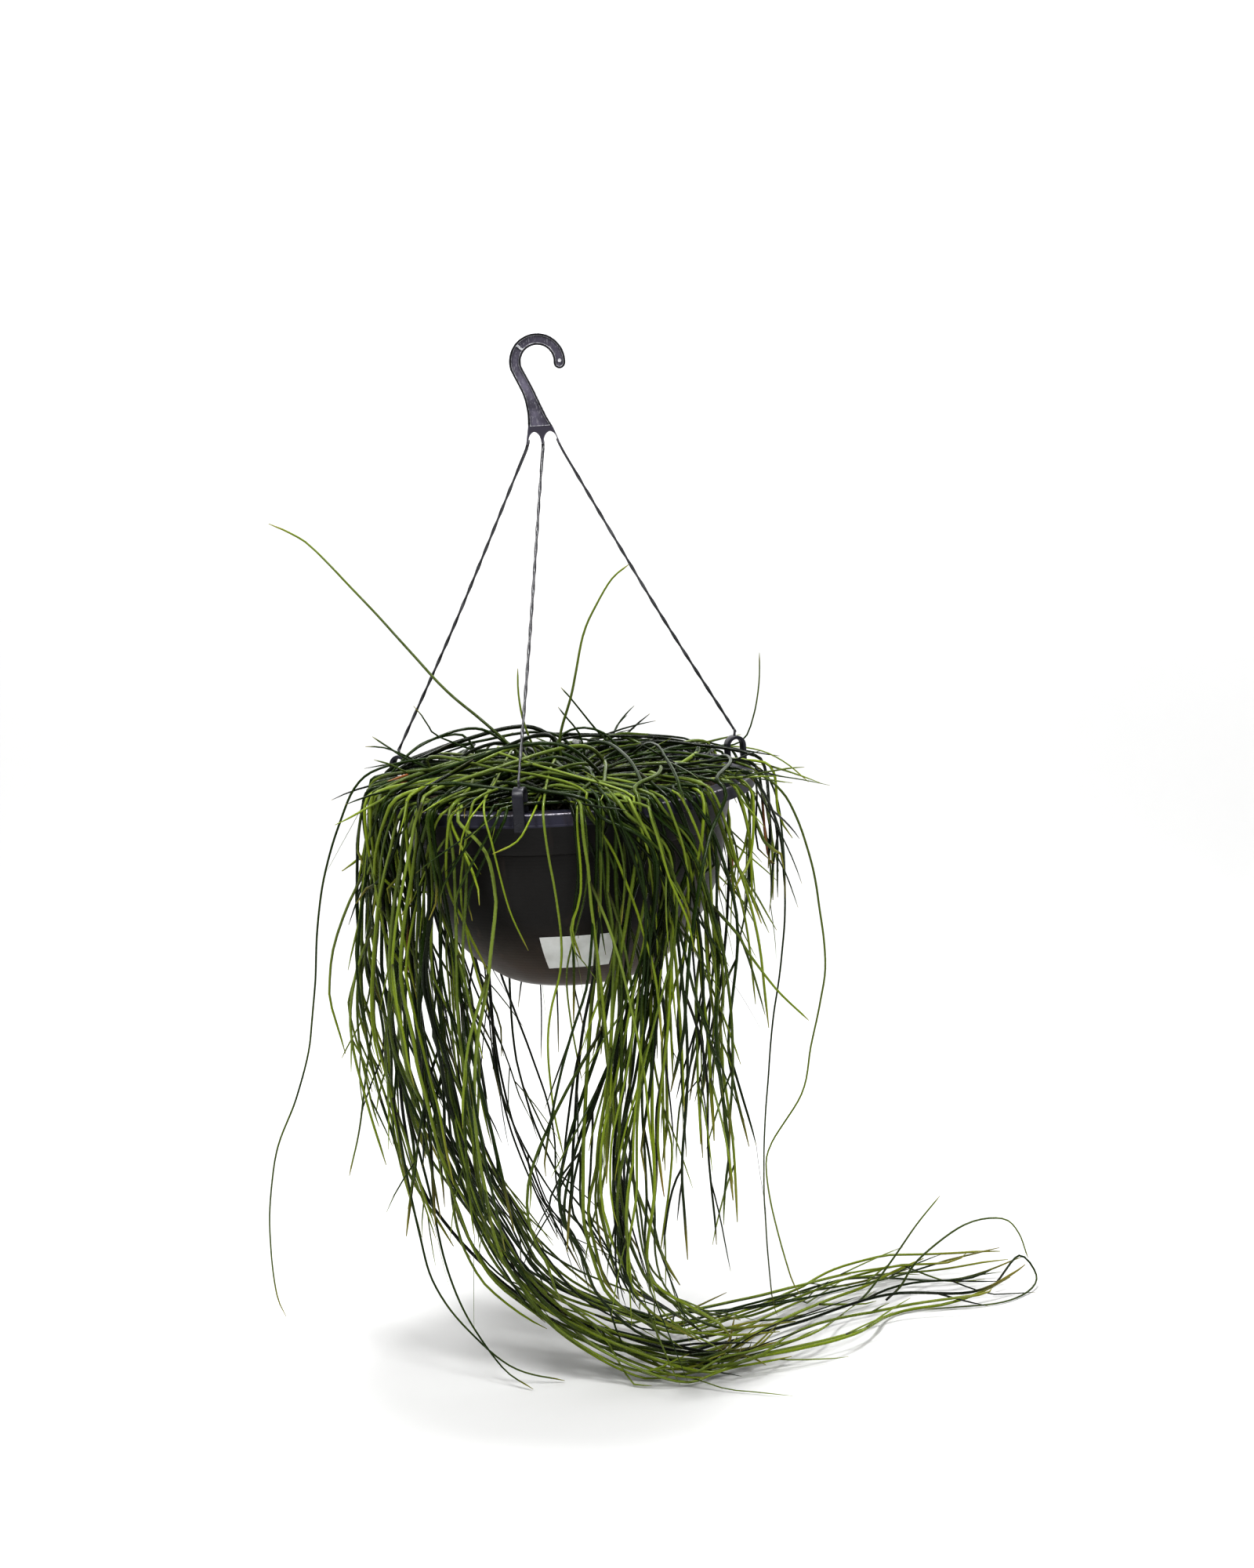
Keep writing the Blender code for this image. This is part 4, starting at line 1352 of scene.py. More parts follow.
    def label(self) -> Object:
        """Builds the bare label, bent round the bowl, its left edge lifting a little.

        Returns:
            The label, in its hanging place.
        """
        columns, rows = 30, 16
        (first, last), (low, high) = self.label_azimuths, self.label_heights
        spots = []
        for up in np.arange(rows + 1) / rows:
            height = low + (high - low) * up
            for across in np.arange(columns + 1) / columns:
                loose = max(0.0, self.label_loose - across) / self.label_loose
                radius = self.bowl(height) + self.label_gap + self.label_lift * loose
                spots.append(tuple(self.axes.point(radius, first + (last - first) * across, height)))
        wide = columns + 1
        faces = [(j * wide + i, j * wide + i + 1, (j + 1) * wide + i + 1, (j + 1) * wide + i)
                 for j in range(rows) for i in range(columns)]
        label = mesh_object("paper_label", plain_mesh("label", spots, faces=faces))
        thicken = label.modifiers.new("thickness", "SOLIDIFY")
        thicken.thickness = self.label_thickness
        thicken.offset = 0.0
        applied(label)
        shaded(label.data, 60)
        return label

    def build(self) -> None:
        """Builds and dresses the pot, the soil and the label."""
        pot_finish = PotFinish("pot_moulding", axis_tilt=-self.axes.tilt, base=tuple(self.axes.base))
        rings = ("base", "bowl_low", "bowl_middle", "bowl_upper", "bowl_top", "collar", "flange", "band")
        dress(self.pot(), pot_finish.make(), [f"pot_{ring}" for ring in rings])
        peat = SoilFinish("peat_mix").make()
        dress(self.soil(peat), peat, ["soil"])
        dress(self.label(), PaperFinish("label_paper").make(), ["label"])


# ---- the plant


class Habit(Enum):
    """How a stem goes on once it is over the rim."""

    FALL = "hangs and ends in the air"
    SWEEP = "bends to the right and lies along the floor"
    TRESS = "comes down at the front and joins the sweep"
    BACK = "comes down behind the pot and joins the back of the sweep"
    ARCH = "arches over the crown and ends near the rim"


@dataclass(frozen=True)
class Bunch:
    """Stems that cross the rim in one sector and share a habit."""

    azimuth: float
    spread: float
    count: int
    habit: Habit
    # partly the green's tone and partly painted light: darker behind the pot, where the stems hang in shadow
    shade: float
    tips: Pair = (-0.5, -0.62)
    lean: float = 0.0
    stout: float = 1.0
    rooted: Pair = (-0.04, 0.085)


@dataclass(frozen=True)
class Tress:
    """A line that stems come down along, how far they stray from it, and how many end before the floor."""

    room: float
    hanging: float
    line: tuple


@dataclass
class Stem:
    """One stem: its points, its thickness at each, and its colouring."""

    points: np.ndarray
    thickness: np.ndarray
    shade: float
    dry: np.ndarray


@dataclass
class Grower:
    """Grows stems by rule, from seeded chance."""

    axes: PotAxes
    pot: Pot
    floor: float
    seed: int
    crown_step: float = 0.0055
    fall_step: float = 0.01
    # joints, and the side shoots that leave there
    joint_gap: Pair = (0.065, 0.15)
    kink: float = 0.0055
    fork_every: float = 0.42
    fork_place: Pair = (0.25, 0.86)
    fork_length: Pair = (0.06, 0.24)
    fork_opening: Pair = (0.03, 0.08)
    fork_angle: Pair = (9, 30)
    tip_length: Pair = (0.018, 0.07)
    tip_angle: Pair = (10, 32)
    # thickness and colouring
    thickness: Pair = (0.00108, 0.0016)
    thinning: float = 0.26
    point_length: float = 0.016
    shade_spread: float = 0.31
    dried_share: float = 0.025
    # the crown: how far roots reach and scatter, and how the way to the rim bulges and arches
    root_reach: float = 0.096
    root_depth: float = 0.002
    root_scatter: float = 0.036
    arch_scatter: float = 0.052
    bulging: float = 0.23
    arching: float = 0.2
    calm: float = 0.38
    slant: float = 0.052
    lip_inset: float = 0.006
    # the way over the crown: shares of the way to the rim, the bulge and the crest, and height over the rim
    crown_way: tuple = ((0.34, 0.8, 1.0, 0.0), (0.7, 0.6, 0.8, 0.001), (1.0, 0.0, 0.3, 0.004))
    # the gap in the crown at the front, left and right
    parting: Pair = (0.03, 0.042)
    parting_azimuth: float = -6.0
    parting_width: float = 22.0
    # stems that hang: their points' spacing, how they wander and bow, and how many are whole
    hang_step: float = 0.055
    wander: float = 0.0042
    bow: float = 0.01
    whole_share: float = 0.75
    # the middle line of the sweep on the floor, seen from above
    sweep: tuple = ((0.06, -0.034), (0.119, -0.014), (0.178, 0.036), (0.242, 0.092), (0.306, 0.122),
                    (0.386, 0.148))
    # a long stem's way out of its fall: share of the way right, height, share of the way back, spread left
    bend: tuple = ((0.03, -0.48, 0.0, 0.95), (0.11, -0.56, 0.3, 0.72), (0.27, -0.625, 0.6, 0.52),
                   (0.53, -0.676, 0.86, 0.42))
    fall_middle: float = -0.06
    # the azimuth from which lanes on the floor are dealt out, and over how many degrees
    lane_start: float = 38.0
    lane_turn: float = 100.0
    lane_span: Pair = (-0.05, 0.04)
    landing: float = 0.098
    gathering: float = 0.3
    hanging_share: float = 0.26
    short_share: float = 0.48
    short_ends: Pair = (0.9, 1.6)
    long_start: float = 3.4
    # how far beyond the locks' own box a stem may go before it is pulled back, and by how much
    depth_limit: float = 0.148
    reach_limit: float = 0.39
    pull: float = 0.75
    rim_room: float = 0.003
    floor_room: float = 0.0022
    tresses: ClassVar[dict[Habit, Tress]] = {
        Habit.TRESS: Tress(0.0135, 0.55, (
            (0.053, -0.132, -0.55), (0.062, -0.112, -0.612), (0.08, -0.088, -0.652), (0.116, -0.048, -0.688),
            (0.178, -0.006, -0.7), (0.238, 0.042, -0.704), (0.3, 0.09, -0.706),
        )),
        Habit.BACK: Tress(0.012, 0.4, (
            (-0.054, 0.118, -0.44), (-0.04, 0.106, -0.54), (-0.014, 0.09, -0.62), (0.024, 0.07, -0.675),
            (0.07, 0.05, -0.702), (0.12, 0.047, -0.712), (0.175, 0.074, -0.713),
        )),
    }

    def __post_init__(self) -> None:
        """Starts the random numbers."""
        self.rng = np.random.default_rng(self.seed)

    def grow(self, bunch: Bunch) -> list[Stem]:
        """Grows a bunch.

        Args:
            bunch: what to grow.

        Returns:
            Its stems, side shoots included.
        """
        stems = []
        for _ in range(bunch.count):
            route, steps = self.route(bunch)
            points = self.kinked(smooth_route(route, steps))
            stem = self.stem(self.kept_clear(points), bunch)
            runners = self.runners(stem)
            stems += [stem, *runners]
            for parent in (stem, *runners):
                stems += self.tips(parent)
        return stems

    def route(self, bunch: Bunch) -> tuple[list[np.ndarray], list[float]]:
        """Leads one stem over the rim and on by its habit.

        Args:
            bunch: what it belongs to.

        Returns:
            The points that it goes through, and the spacing of its rings along each stretch.
        """
        azimuth = bunch.azimuth + self.rng.uniform(-1, 1) * bunch.spread
        head, drift = self.over_rim(azimuth, bunch)
        start = head[-1]
        steps = [*[self.crown_step] * (len(head) - 1), self.fall_step]
        if bunch.habit is Habit.FALL:
            head += self.fall(start, bunch, drift)
        elif bunch.habit is Habit.SWEEP:
            head += self.laid(start, azimuth)
        elif bunch.habit in self.tresses:
            head += self.beside(self.tresses[bunch.habit], start)
        return head, steps

    def parted(self, azimuth: float) -> float:
        """How far to the inner side a stem roots, so that the crown parts at the front.

        Args:
            azimuth: where the stem crosses the rim.

        Returns:
            The distance, positive to the stem's left.
        """
        off = azimuth - self.parting_azimuth
        side = self.parting[int(off > 0)] * max(math.cos(math.radians(azimuth)), 0)
        return -math.copysign(min(abs(off) / self.parting_width, 1.0), off) * side

    def over_rim(self, azimuth: float, bunch: Bunch) -> tuple[list[np.ndarray], np.ndarray]:
        """A stem's way out of the soil, over the crown and across the rim.

        Args:
            azimuth: where it crosses the rim.
            bunch: what it belongs to.

        Returns:
            The points, the last one just below the rim, and the sideways drift that goes on from there.
        """
        rng, rim, spot = self.rng, self.pot.height, self.axes.spot
        ahead = heading(azimuth)
        aside = np.array((-ahead[1], ahead[0]))
        is_arch = bunch.habit is Habit.ARCH
        across = rng.normal(self.parted(azimuth), self.arch_scatter if is_arch else self.root_scatter)
        root = ahead * rng.uniform(*bunch.rooted) + aside * across
        root *= min(1.0, self.root_reach / max(float(np.hypot(*root)), TINY))
        lip = ahead * (self.pot.rim_radius - self.lip_inset)
        way = lip - root
        length = float(np.hypot(*way))
        drift = aside * float(way @ aside) / length
        bulge = aside * rng.normal(0.0, self.bulging) * length
        arching = self.arching * (1.0 - self.calm * max(ahead[0], ahead[1], 0.0))
        crest = rng.uniform(-0.003, 0.006) + arching * length * rng.uniform(0.0, 1.0) ** 1.5
        soil = self.pot.soil_top(float(np.hypot(*root)))
        out, low = rng.uniform(0.0, 0.005), rng.uniform(0.03, 0.05)
        head = [spot(root, soil - self.root_depth), spot(root + way * 0.05, soil + 0.01)]
        head += [spot(root + way * share + bulge * bulged, rim + risen * crest + lift)
                 for share, bulged, risen, lift in self.crown_way]
        head += [
            spot(lip + ahead * (0.011 + 0.35 * out) + drift * 0.01, rim - 0.004 + 0.15 * crest),
            spot(lip + ahead * (0.01 + out) + drift * self.slant, rim - low),
        ]
        if is_arch:
            head = head[:5 + int(rng.integers(1, 3))]
            if len(head) > 6:
                head.append(head[-1] + np.array((0, 0, -rng.uniform(0.01, 0.07))))
        return head, drift

    def fall(self, start: np.ndarray, bunch: Bunch, drift: np.ndarray) -> list[np.ndarray]:
        """The way of a stem that hangs and ends in the air.

        Args:
            start: where it comes from.
            bunch: what it belongs to.
            drift: its drift sideways as it comes over the rim.

        Returns:
            Its points.
        """
        rng = self.rng
        high, low = bunch.tips
        highest = start[2] - 0.02
        is_whole = rng.uniform() < self.whole_share
        tip = min(rng.uniform(*((low, high) if is_whole else (high, max(high, highest)))), highest)
        count = max(2, int((start[2] - tip) / self.hang_step))
        walk = np.zeros(2)
        bow = rng.normal(0.0, self.bow, 2)
        found = []
        for share in np.arange(1, count + 1) / count:
            walk = walk * 0.85 + rng.normal(0.0, self.wander, 2)
            lean = np.array((bunch.lean, 0.0)) * share**1.6 + bow * share**1.3
            lean = lean + drift * self.slant * 0.8 * (1 - math.exp(-2.5 * share))
            found.append(start + np.array((*(walk + lean), (tip - start[2]) * share)))
        return found

    def laid(self, start: np.ndarray, azimuth: float) -> list[np.ndarray]:
        """The way of a long stem that bends to the right and lies along the floor.

        Args:
            start: where it comes from.
            azimuth: where it crossed the rim, which gives it its lane.

        Returns:
            Its points.
        """
        rng = self.rng
        order = np.clip((-azimuth - self.lane_start) / self.lane_turn, 0.0, 1.0)
        low, high = self.lane_span
        lane = np.clip(low + (high - low) * order + rng.normal(0.0, 0.016), low, high)
        (entry_x, entry_y), (next_x, next_y) = self.sweep[:2]
        off = start[0] - self.fall_middle
        landing_x = self.landing + self.gathering * off + rng.normal(0.0, 0.014)
        reach = self.landing - self.fall_middle
        slope = (next_y - entry_y) / (next_x - entry_x)
        landing_y = entry_y + slope * (landing_x - entry_x) + lane
        level = self.floor + rng.uniform(0.002, 0.015)
        late = rng.normal(0.0, 0.014)
        found = [np.array((start[0] + rng.normal(0, 0.004), start[1] + rng.normal(0, 0.004),
                           0.5 * (start[2] + self.bend[0][1])))]
        for right, height, share, spread in self.bend:
            found.append(np.array((
                self.fall_middle + off * spread + right * reach + rng.normal(0, 0.004),
                start[1] + (landing_y - start[1]) * share + rng.normal(0, 0.004), height + late * (1 - share),
            )))
        if rng.uniform() < self.hanging_share:
            return found[:int(rng.integers(3, 6))]
        found.append(np.array((landing_x, landing_y, level + 0.004)))
        is_short = rng.uniform() < self.short_share
        end = rng.uniform(*(self.short_ends if is_short else (self.long_start, len(self.sweep) - 1)))
        return found + self.along_sweep(lane, end, level)

    def along_sweep(self, lane: float, end: float, level: float) -> list[np.ndarray]:
        """Places along the sweep.

        Args:
            lane: their distance from its middle line.
            end: where they end, counted in its points.
            level: the height that they lie at.

        Returns:
            The places.
        """
        rng = self.rng
        spots = []
        drift = 0.0
        for k in range(1, int(math.ceil(end)) + 1):
            stop = min(float(k), end)
            way = self.sweep_at(min(stop + 0.2, len(self.sweep) - 1.0)) - self.sweep_at(max(stop - 0.2, 0.0))
            way /= np.linalg.norm(way)
            drift = drift * 0.6 + rng.normal(0.0, 0.01)
            side = np.array((-way[1], way[0])) * (lane * (1.0 - 0.12 * stop) + drift)
            spots.append(np.array((*(self.sweep_at(stop) + side), level + rng.uniform(0.0, 0.008))))
        spots[-1][2] += rng.uniform(0.0, 0.012)
        return spots

    def sweep_at(self, place: float) -> np.ndarray:
        """The sweep's middle line at a place counted in its points, as (x, y)."""
        return np.array([np.interp(place, range(len(self.sweep)), axis) for axis in zip(*self.sweep)])

    def beside(self, tress: Tress, start: np.ndarray) -> list[np.ndarray]:
        """The way of a stem that comes down along a tress, near it by chance.

        Args:
            tress: the tress.
            start: where the stem comes from.

        Returns:
            Its points.
        """
        rng = self.rng
        line = np.array(tress.line)
        is_hanging = rng.uniform() < tress.hanging
        end = rng.uniform(1.1, 2.5) if is_hanging else rng.uniform(3.0, len(line) - 1.7)
        aside = np.array((*rng.normal(0.0, tress.room, 2), 0.0))
        found = [0.5 * (start + line[0] + aside * (1, 0, 0))]
        for spot in line[:int(end) + 1]:
            jitter = rng.normal(0.0, tress.room * 0.3, 3)
            found.append(spot + aside + jitter)
            found[-1][2] = max(found[-1][2], self.floor + 0.004 + abs(jitter[2]))
        return found

    def kinked(self, points: np.ndarray) -> np.ndarray:
        """Gives a route a slight change of direction at each joint.

        Args:
            points: the route.

        Returns:
            The changed points.
        """
        rng = self.rng
        place = lengths_along(points)
        joints = [0.0]
        while joints[-1] < place[-1]:
            joints.append(joints[-1] + rng.uniform(*self.joint_gap))
        shifts = rng.normal(0.0, self.kink, (len(joints), 3))
        shifts[0] = 0.0
        shifts[:, 2] *= 0.4
        return points + np.stack([np.interp(place, joints, shifts[:, c]) for c in range(3)], 1)

    def kept_clear(self, points: np.ndarray) -> np.ndarray:
        """Moves a route off the floor, out of the pot's wall and off its rim.

        Args:
            points: the route.

        Returns:
            The moved points.
        """
        x, y, height = self.axes.measures(points)
        radius = np.hypot(x, y)
        pot, room = self.pot, self.rim_room
        crossed = np.maximum.accumulate((radius > pot.rim_radius).astype(int)) > 0
        near = (height < pot.height + room) & (height > pot.height - 0.05)
        outer = near & crossed & (radius < pot.rim_radius + room)
        lifted = near & ~crossed & (radius > pot.collar(pot.soil_edge) - pot.wall - 0.004)
        wanted = np.where(outer, pot.rim_radius + room, radius)
        factor = wanted / np.maximum(radius, TINY)
        height = np.where(lifted, pot.height + room, height)
        found = self.axes.world(x * factor, y * factor, height)
        found[:, 0] -= np.maximum(found[:, 0] - self.reach_limit, 0.0) * self.pull
        past = np.maximum(np.abs(found[:, 1]) - self.depth_limit, 0.0)
        found[:, 1] -= np.sign(found[:, 1]) * past * self.pull
        found[:, 2] = np.maximum(found[:, 2], self.floor + self.floor_room)
        return found

    def stem(self, points: np.ndarray, bunch: Bunch) -> Stem:
        """Gives a route its thickness and colouring.

        Args:
            points: the route.
            bunch: what it belongs to.

        Returns:
            The stem.
        """
        rng = self.rng
        place = lengths_along(points)
        share = place / place[-1]
        thin = rng.uniform(*self.thickness) * bunch.stout * (1.0 - self.thinning * share)
        to_tip = (place[-1] - place) / self.point_length
        thickness = thin * np.clip(0.3 + 0.7 * to_tip, 0.3, 1.0)
        shade = float(np.clip(rng.normal(bunch.shade, self.shade_spread), 0.0, 1.0))
        dry = np.zeros(len(points))
        if rng.uniform() < self.dried_share:
            dry = np.clip((share - rng.uniform(0.75, 0.95)) * 8.0, 0.0, 0.85)
        return Stem(points, thickness, shade, dry)

    def runners(self, parent: Stem) -> list[Stem]:
        """Branches that fork off a stem at a joint, open like a V and then hang beside it.

        Args:
            parent: the stem.

        Returns:
            The branches.
        """
        rng = self.rng
        place = lengths_along(parent.points)
        found = []
        for _ in range(rng.poisson(place[-1] / self.fork_every)):
            start = place[-1] * rng.uniform(*self.fork_place)
            length = rng.uniform(*self.fork_length)
            chosen = (place >= start) & (place <= start + length)
            if chosen.sum() < 5:
                continue
            run = place[chosen] - place[chosen][0]
            turn = rng.uniform(0, math.tau)
            side = np.array((math.cos(turn), math.sin(turn), rng.normal(0, 0.15)))
            reach = rng.uniform(*self.fork_opening)
            apart = math.tan(math.radians(rng.uniform(*self.fork_angle))) * reach * (1 - np.exp(-run / reach))
            points = parent.points[chosen] + side * apart[:, None]
            found.append(self.branch(parent, points, run, float(parent.thickness[chosen][0]) * 0.9, 0.25))
        return found

    def tips(self, parent: Stem) -> list[Stem]:
        """Short thin branches that stand off the last stretch of a stem.

        Args:
            parent: the stem.

        Returns:
            The tips.
        """
        rng = self.rng
        place = lengths_along(parent.points)
        found = []
        for _ in range(int(rng.integers(0, 3))):
            back = place[-1] * 0.6 * rng.uniform(0.08, min(1.0, 0.26 / place[-1]))
            at = int(np.searchsorted(place, place[-1] - back))
            if at < 1 or at >= len(place):
                continue
            way = parent.points[at] - parent.points[at - 1]
            way /= np.linalg.norm(way)
            aside = np.cross(way, rng.normal(0, 1, 3))
            aside /= np.linalg.norm(aside)
            slant = math.tan(math.radians(rng.uniform(*self.tip_angle)))
            length = rng.uniform(*self.tip_length)
            run = np.linspace(0, length, max(3, round(length / 0.009)))
            off = run * slant * (1 - 0.25 * run / length)
            points = parent.points[at] + np.outer(run, way) + np.outer(off, aside)
            found.append(self.branch(parent, points, run, float(parent.thickness[at]) * 0.8, 0.35))
        return found

    def branch(self, parent: Stem, points: np.ndarray, run: np.ndarray, stout: float, loss: float) -> Stem:
        """A branch that thins to a point at its end, a little lighter than its parent.

        Args:
            parent: the stem that it leaves.
            points: its points.
            run: how far along each of them is.
            stout: its thickness at the start.
            loss: the share of it that is lost before the point begins.

        Returns:
            The branch.
        """
        taper = np.clip(0.28 + (run[-1] - run) / 0.02, 0.28, 1.0)
        shade = float(np.clip(parent.shade + self.rng.normal(0.08, 0.12), 0, 1))
        return Stem(self.kept_clear(points), stout * (1.0 - loss * run / run[-1]) * taper, shade, run * 0.0)


def lengths_along(points: np.ndarray) -> np.ndarray:
    """How far along a line each of its points is."""
    return np.concatenate([[0.0], np.cumsum(np.linalg.norm(np.diff(points, axis=0), axis=1))])


@dataclass
class Plant:
    """All the stems, in pieces that each stand for a few of the model's locks."""

    axes: PotAxes
    pot: Pot
    floor: float

    def sectors(self) -> dict[str, tuple[list[str], list[Bunch]]]:
        """The plant's sectors, from the left front round the back to the right front.

        Returns:
            Each piece's CAD nodes and bunches, by the piece's name.
        """
        fall, sweep, tress, back, arch = Habit.FALL, Habit.SWEEP, Habit.TRESS, Habit.BACK, Habit.ARCH
        # a bunch's shade is partly painted light: the bunches behind the pot are darker as painted shade
        return {
            "stems_left_front": (numbered("left", 1, 3), [
                Bunch(-27, 5, 2, fall, 0.55, (-0.36, -0.46), 0.008),
                Bunch(-46, 12, 8, fall, 0.54, (-0.33, -0.46), 0.006),
                Bunch(-43, 9, 8, fall, 0.42, (-0.46, -0.62), 0.03),
                Bunch(-40, 6, 12, sweep, 0.6),
            ]),
            "stems_left": (numbered("left", 4, 6), [
                Bunch(-74, 14, 5, fall, 0.42, (-0.33, -0.44), 0.004),
                Bunch(-64, 14, 9, fall, 0.46, (-0.52, -0.64), 0.026),
                Bunch(-58, 10, 3, sweep, 0.45),
            ]),
            "stems_left_back": (numbered("left", 7, 8), [
                Bunch(-94, 14, 8, fall, 0.36, (-0.5, -0.62), 0.022),
                Bunch(-90, 12, 2, sweep, 0.3),
            ]),
            "stems_back_left": (numbered("back", 1, 3), [
                Bunch(-130, 10, 7, fall, 0.18, (-0.5, -0.64), 0.045, 0.85),
                Bunch(-134, 10, 9, sweep, 0.22, stout=0.8),
                Bunch(-148, 8, 8, back, 0.22, stout=0.75),
            ]),
            "stems_back": (numbered("back", 4, 6), [
                Bunch(-166, 9, 6, fall, 0.15, (-0.44, -0.62), 0.02, 0.75),
                Bunch(178, 10, 4, fall, 0.2, (-0.4, -0.52), stout=0.8),
                Bunch(-165, 22, 9, fall, 0.4, (-0.34, -0.42), rooted=(0.035, 0.09)),
            ]),
            "stems_back_right": (numbered("back", 7, 11), [
                Bunch(154, 12, 4, fall, 0.24, (-0.46, -0.6), stout=0.85),
                Bunch(150, 24, 18, fall, 0.42, (-0.34, -0.42), rooted=(0.03, 0.09)),
                Bunch(150, 35, 7, arch, 0.34, rooted=(0.01, 0.07)),
                Bunch(127, 12, 2, fall, 0.28, (-0.46, -0.57), stout=0.85),
            ]),
            "stems_right_back": (numbered("right", 1, 4), [
                Bunch(92, 12, 2, fall, 0.38, (-0.31, -0.34), stout=0.85),
                Bunch(68, 9, 2, fall, 0.42, (-0.31, -0.38), stout=0.8),
                Bunch(48, 13, 3, fall, 0.6, (-0.31, -0.38)),
                Bunch(60, 24, 7, arch, 0.52),
            ]),
            "stems_right": (numbered("right", 5, 7), [
                Bunch(52, 5, 1, fall, 0.36, (-0.46, -0.56)),
                Bunch(39, 8, 6, fall, 0.66, (-0.48, -0.59)),
                Bunch(29, 7, 8, fall, 0.74, (-0.46, -0.6)),
            ]),
            "stems_right_front": (numbered("right", 8, 10), [
                Bunch(14, 11, 18, tress, 0.49),
                Bunch(16, 11, 8, fall, 0.56, (-0.46, -0.575), 0.002),
                Bunch(15, 9, 8, fall, 0.22, (-0.54, -0.625)),
            ]),
            "crown_stems": ([], [Bunch(0, 180, 22, arch, 0.36)]),
        }

    def build(self) -> None:
        """Grows, builds and dresses every piece."""
        finish = StemFinish("stem_skin").make()
        tubes = StemTubes(finish)
        for k, (name, (nodes, bunches)) in enumerate(self.sectors().items()):
            stems = []
            for j, bunch in enumerate(bunches):
                stems += Grower(self.axes, self.pot, self.floor, seed=100 + 10 * k + j).grow(bunch)
            dress(self.piece(name, stems, tubes), finish, nodes)
        singles = Singles(self.axes, self.pot)
        nodes = [f"stray_stem_{name}" for name in singles.NAMES]
        dress(self.piece("single_stems", singles.stems(), tubes), finish, nodes)

    @staticmethod
    def piece(name: str, stems: Sequence[Stem], tubes: StemTubes) -> Object:
        """Builds the tubes of a list of stems as one piece.

        Args:
            name: the piece's name.
            stems: its stems.
            tubes: the tree that sweeps them.

        Returns:
            The piece, with its maps.
        """
        counts = [len(stem.points) for stem in stems]
        points = np.vstack([stem.points for stem in stems])
        firsts = np.cumsum([0, *counts[:-1]])
        edges = [(first + k, first + k + 1) for first, count in zip(firsts, counts) for k in range(count - 1)]
        mesh = plain_mesh(name, points.tolist(), edges)
        values = {
            "thickness": np.concatenate([stem.thickness for stem in stems]),
            "shade": np.concatenate([np.full(count, stem.shade) for stem, count in zip(stems, counts)]),
            "dry": np.concatenate([stem.dry for stem in stems]),
            "along": np.concatenate([np.linspace(0, 1, count) for count in counts]),
            "row": np.repeat(np.arange(len(stems)), counts) + 0.0,
        }
        for key, numbers in values.items():
            mesh.attributes.new(key, "FLOAT", "POINT").data.foreach_set("value", numbers.astype(np.float32))
        piece = mesh_object(name, mesh)
        tubes.run(piece)
        add_stem_maps(piece.data, len(stems))
        return piece


def numbered(side: str, first: int, last: int) -> list[str]:
    """The names of a side's locks in the model, from first to last."""
    return [f"stem_lock_{side}_{k:02d}" for k in range(first, last + 1)]


def numbers_of(rows: Sequence, key: str, kind: type) -> np.ndarray:
    """One number from each row of a mesh's list.

    Args:
        rows: the list.
        key: the number's name.
        kind: its type.

    Returns:
        The numbers.
    """
    numbers = np.empty(len(rows), kind)
    rows.foreach_get(key, numbers)
    return numbers


def add_stem_maps(mesh: Mesh, count: int) -> None:
    """Lays each stem out as a strip of its own.

    Args:
        mesh: the swept stems.
        count: how many stems there are.
    """
    corners = numbers_of(mesh.loops, "vertex_index", np.int32)
    around, along, row = (numbers_of(mesh.attributes[key].data, "value", np.float32)[corners]
                          for key in ("around", "along", "row"))
    starts, sizes = (numbers_of(mesh.polygons, key, np.int32) for key in ("loop_start", "loop_total"))
    quads = starts[sizes == 4][:, None] + np.arange(4)
    # a face that closes the round runs on to 1, not back to 0
    ends = quads[np.ptp(around[quads], axis=1) > 0.5]
    around[ends] = np.where(around[ends] < 0.25, 1.0, around[ends])
    across = (row + 0.08 + 0.84 * around) / count
    for name, pair in ((BAKE_MAP, (across, 0.004 + 0.992 * along)), (COAT_MAP, (around, along))):
        layer = mesh.uv_layers.new(name=name)
        layer.uv.foreach_set("vector", np.stack(pair, 1).astype(np.float32).ravel())


